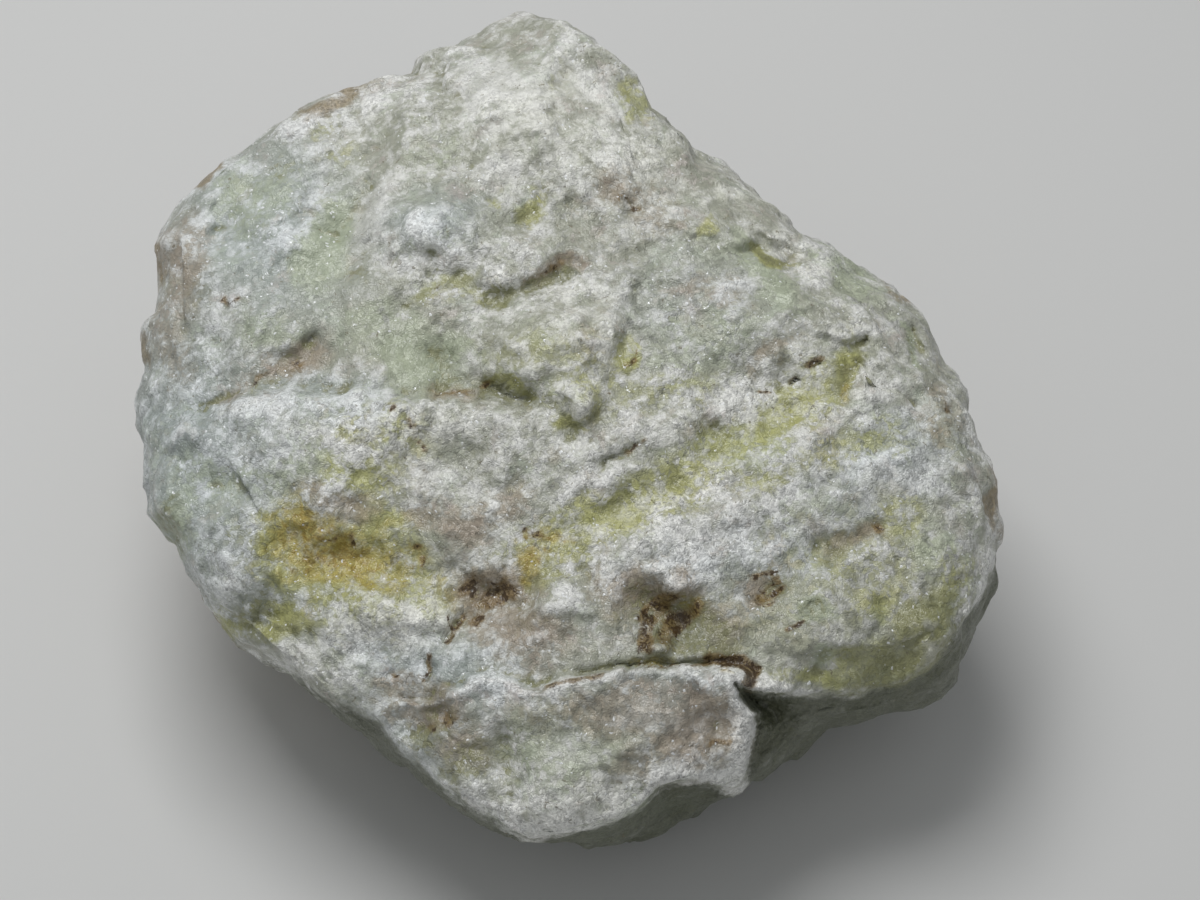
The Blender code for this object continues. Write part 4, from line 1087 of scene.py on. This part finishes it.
# %% Light and dark grains
sugary = eased(maths("MULTIPLY_ADD", wax, -0.25, mottle), 0.25, 0.6)
fleck_tone = swing(sugar["Fleck"], 0.45, sugary)
thread_tone = swing(threads, 0.5, 0.45)
lump_tone = swing(lumps["Fleck"], 0.5, 0.17)
grain_tone = maths("MULTIPLY_ADD", fleck_tone, 0.85, maths("ADD", thread_tone, lump_tone))
liveliness = maths("MULTIPLY_ADD", mask("even"), -0.35, 1.0)
grain_tone = maths("MULTIPLY_ADD", grain_tone, liveliness, 1.0)
grain_tone = node("CombineColor", {n: grain_tone for n in range(3)})[0]
colour = mixed(1.0, colour, grain_tone, "MULTIPLY")
print("Nodes with the grains' tones:", len(tree.nodes))

# %% Gloss, painted glints and bump
PAINTED_GLINT_WHITE = (0.95, 0.97, 0.98, 1)
DATOLITE_IOR = 1.6
# Painted glints: a few of the finest grains, in clusters and off the rust and the shaded side, are
# coloured near white, and they are glossier too.
glint = eased(sugar["Fleck"], 0.974, 0.990)
glint_places = maths("MULTIPLY_ADD", mask("cool"), 0.10, noise(2.4, 3.0))
glint = maths("MULTIPLY", glint, eased(glint_places, 0.42, 0.6))
rust_or_shade = maths("MAXIMUM", stained, mask("side"))
glint = maths("MULTIPLY", glint, maths("SUBTRACT", 1.0, rust_or_shade))
colour = mixed(maths("MULTIPLY", glint, 0.9), colour, PAINTED_GLINT_WHITE)
rough = maths("MULTIPLY_ADD", wax, -0.18, 0.52)
rough = maths("MULTIPLY_ADD", glint, -0.30, rough)
height = maths("MULTIPLY_ADD", lumps["Facet"], 0.40, maths("MULTIPLY", crumbs["Facet"], 0.45))
height = maths("MULTIPLY_ADD", sugar["Height"], 0.00008, height)
bump = node("Bump", {"Strength": liveliness, "Distance": 1.0, "Height": height})[0]
for value, name in ((colour, "Base Color"), (rough, "Roughness"), (bump, "Normal")):
    tree.links.new(value, shader.inputs[name])
shader.inputs["IOR"].default_value = DATOLITE_IOR
mesh.materials.append(stone_material)
print("Datolite nodes:", len(tree.nodes))

# %% [markdown]
# ## Floor and light
# A plain pale floor, a soft key light nearly above, a little behind and to the left, and a wide
# weak fill from the front. The key stands close, so that it falls off towards the viewer, and the
# lower right side stays in the stone's own shade, which its dark colour also paints in.

# %% The floor, the lights and the sky
bpy.ops.mesh.primitive_plane_add(size=6.0, location=(0, 0, -0.0001))
floor = bpy.context.object
floor.name = "floor"
floor_material = bpy.data.materials.new("Pale floor")
floor_material.use_nodes = True
floor_shader = floor_material.node_tree.nodes["Principled BSDF"]
floor_shader.inputs["Base Color"].default_value = (0.70, 0.70, 0.69, 1)
floor_shader.inputs["Roughness"].default_value = 0.8
floor.data.materials.append(floor_material)


def area_light(name, place, size, power):
    """A square area light in metres and watts, turned to the stone."""
    light = bpy.data.lights.new(name, "AREA")
    light.size = size
    light.energy = power
    holder = bpy.data.objects.new(name, light)
    holder.location = place
    towards_stone = Vector((0, 0, MIDDLE[2] * MM)) - Vector(place)
    holder.rotation_euler = towards_stone.to_track_quat("-Z", "Y").to_euler()
    bpy.context.scene.collection.objects.link(holder)


area_light("key", (-0.06, 0.09, 0.35), 0.18, 0.72)
area_light("fill", (0.00, -0.35, 0.60), 0.70, 0.3)
world = bpy.data.worlds.new("Soft sky")
world.use_nodes = True
sky = world.node_tree.nodes["Background"]
sky.inputs["Color"].default_value = (0.95, 0.98, 1.0, 1)
sky.inputs["Strength"].default_value = 0.24
bpy.context.scene.world = world
bpy.context.scene.view_settings.view_transform = "Standard"
print("Lights:", [light.name for light in bpy.data.lights])
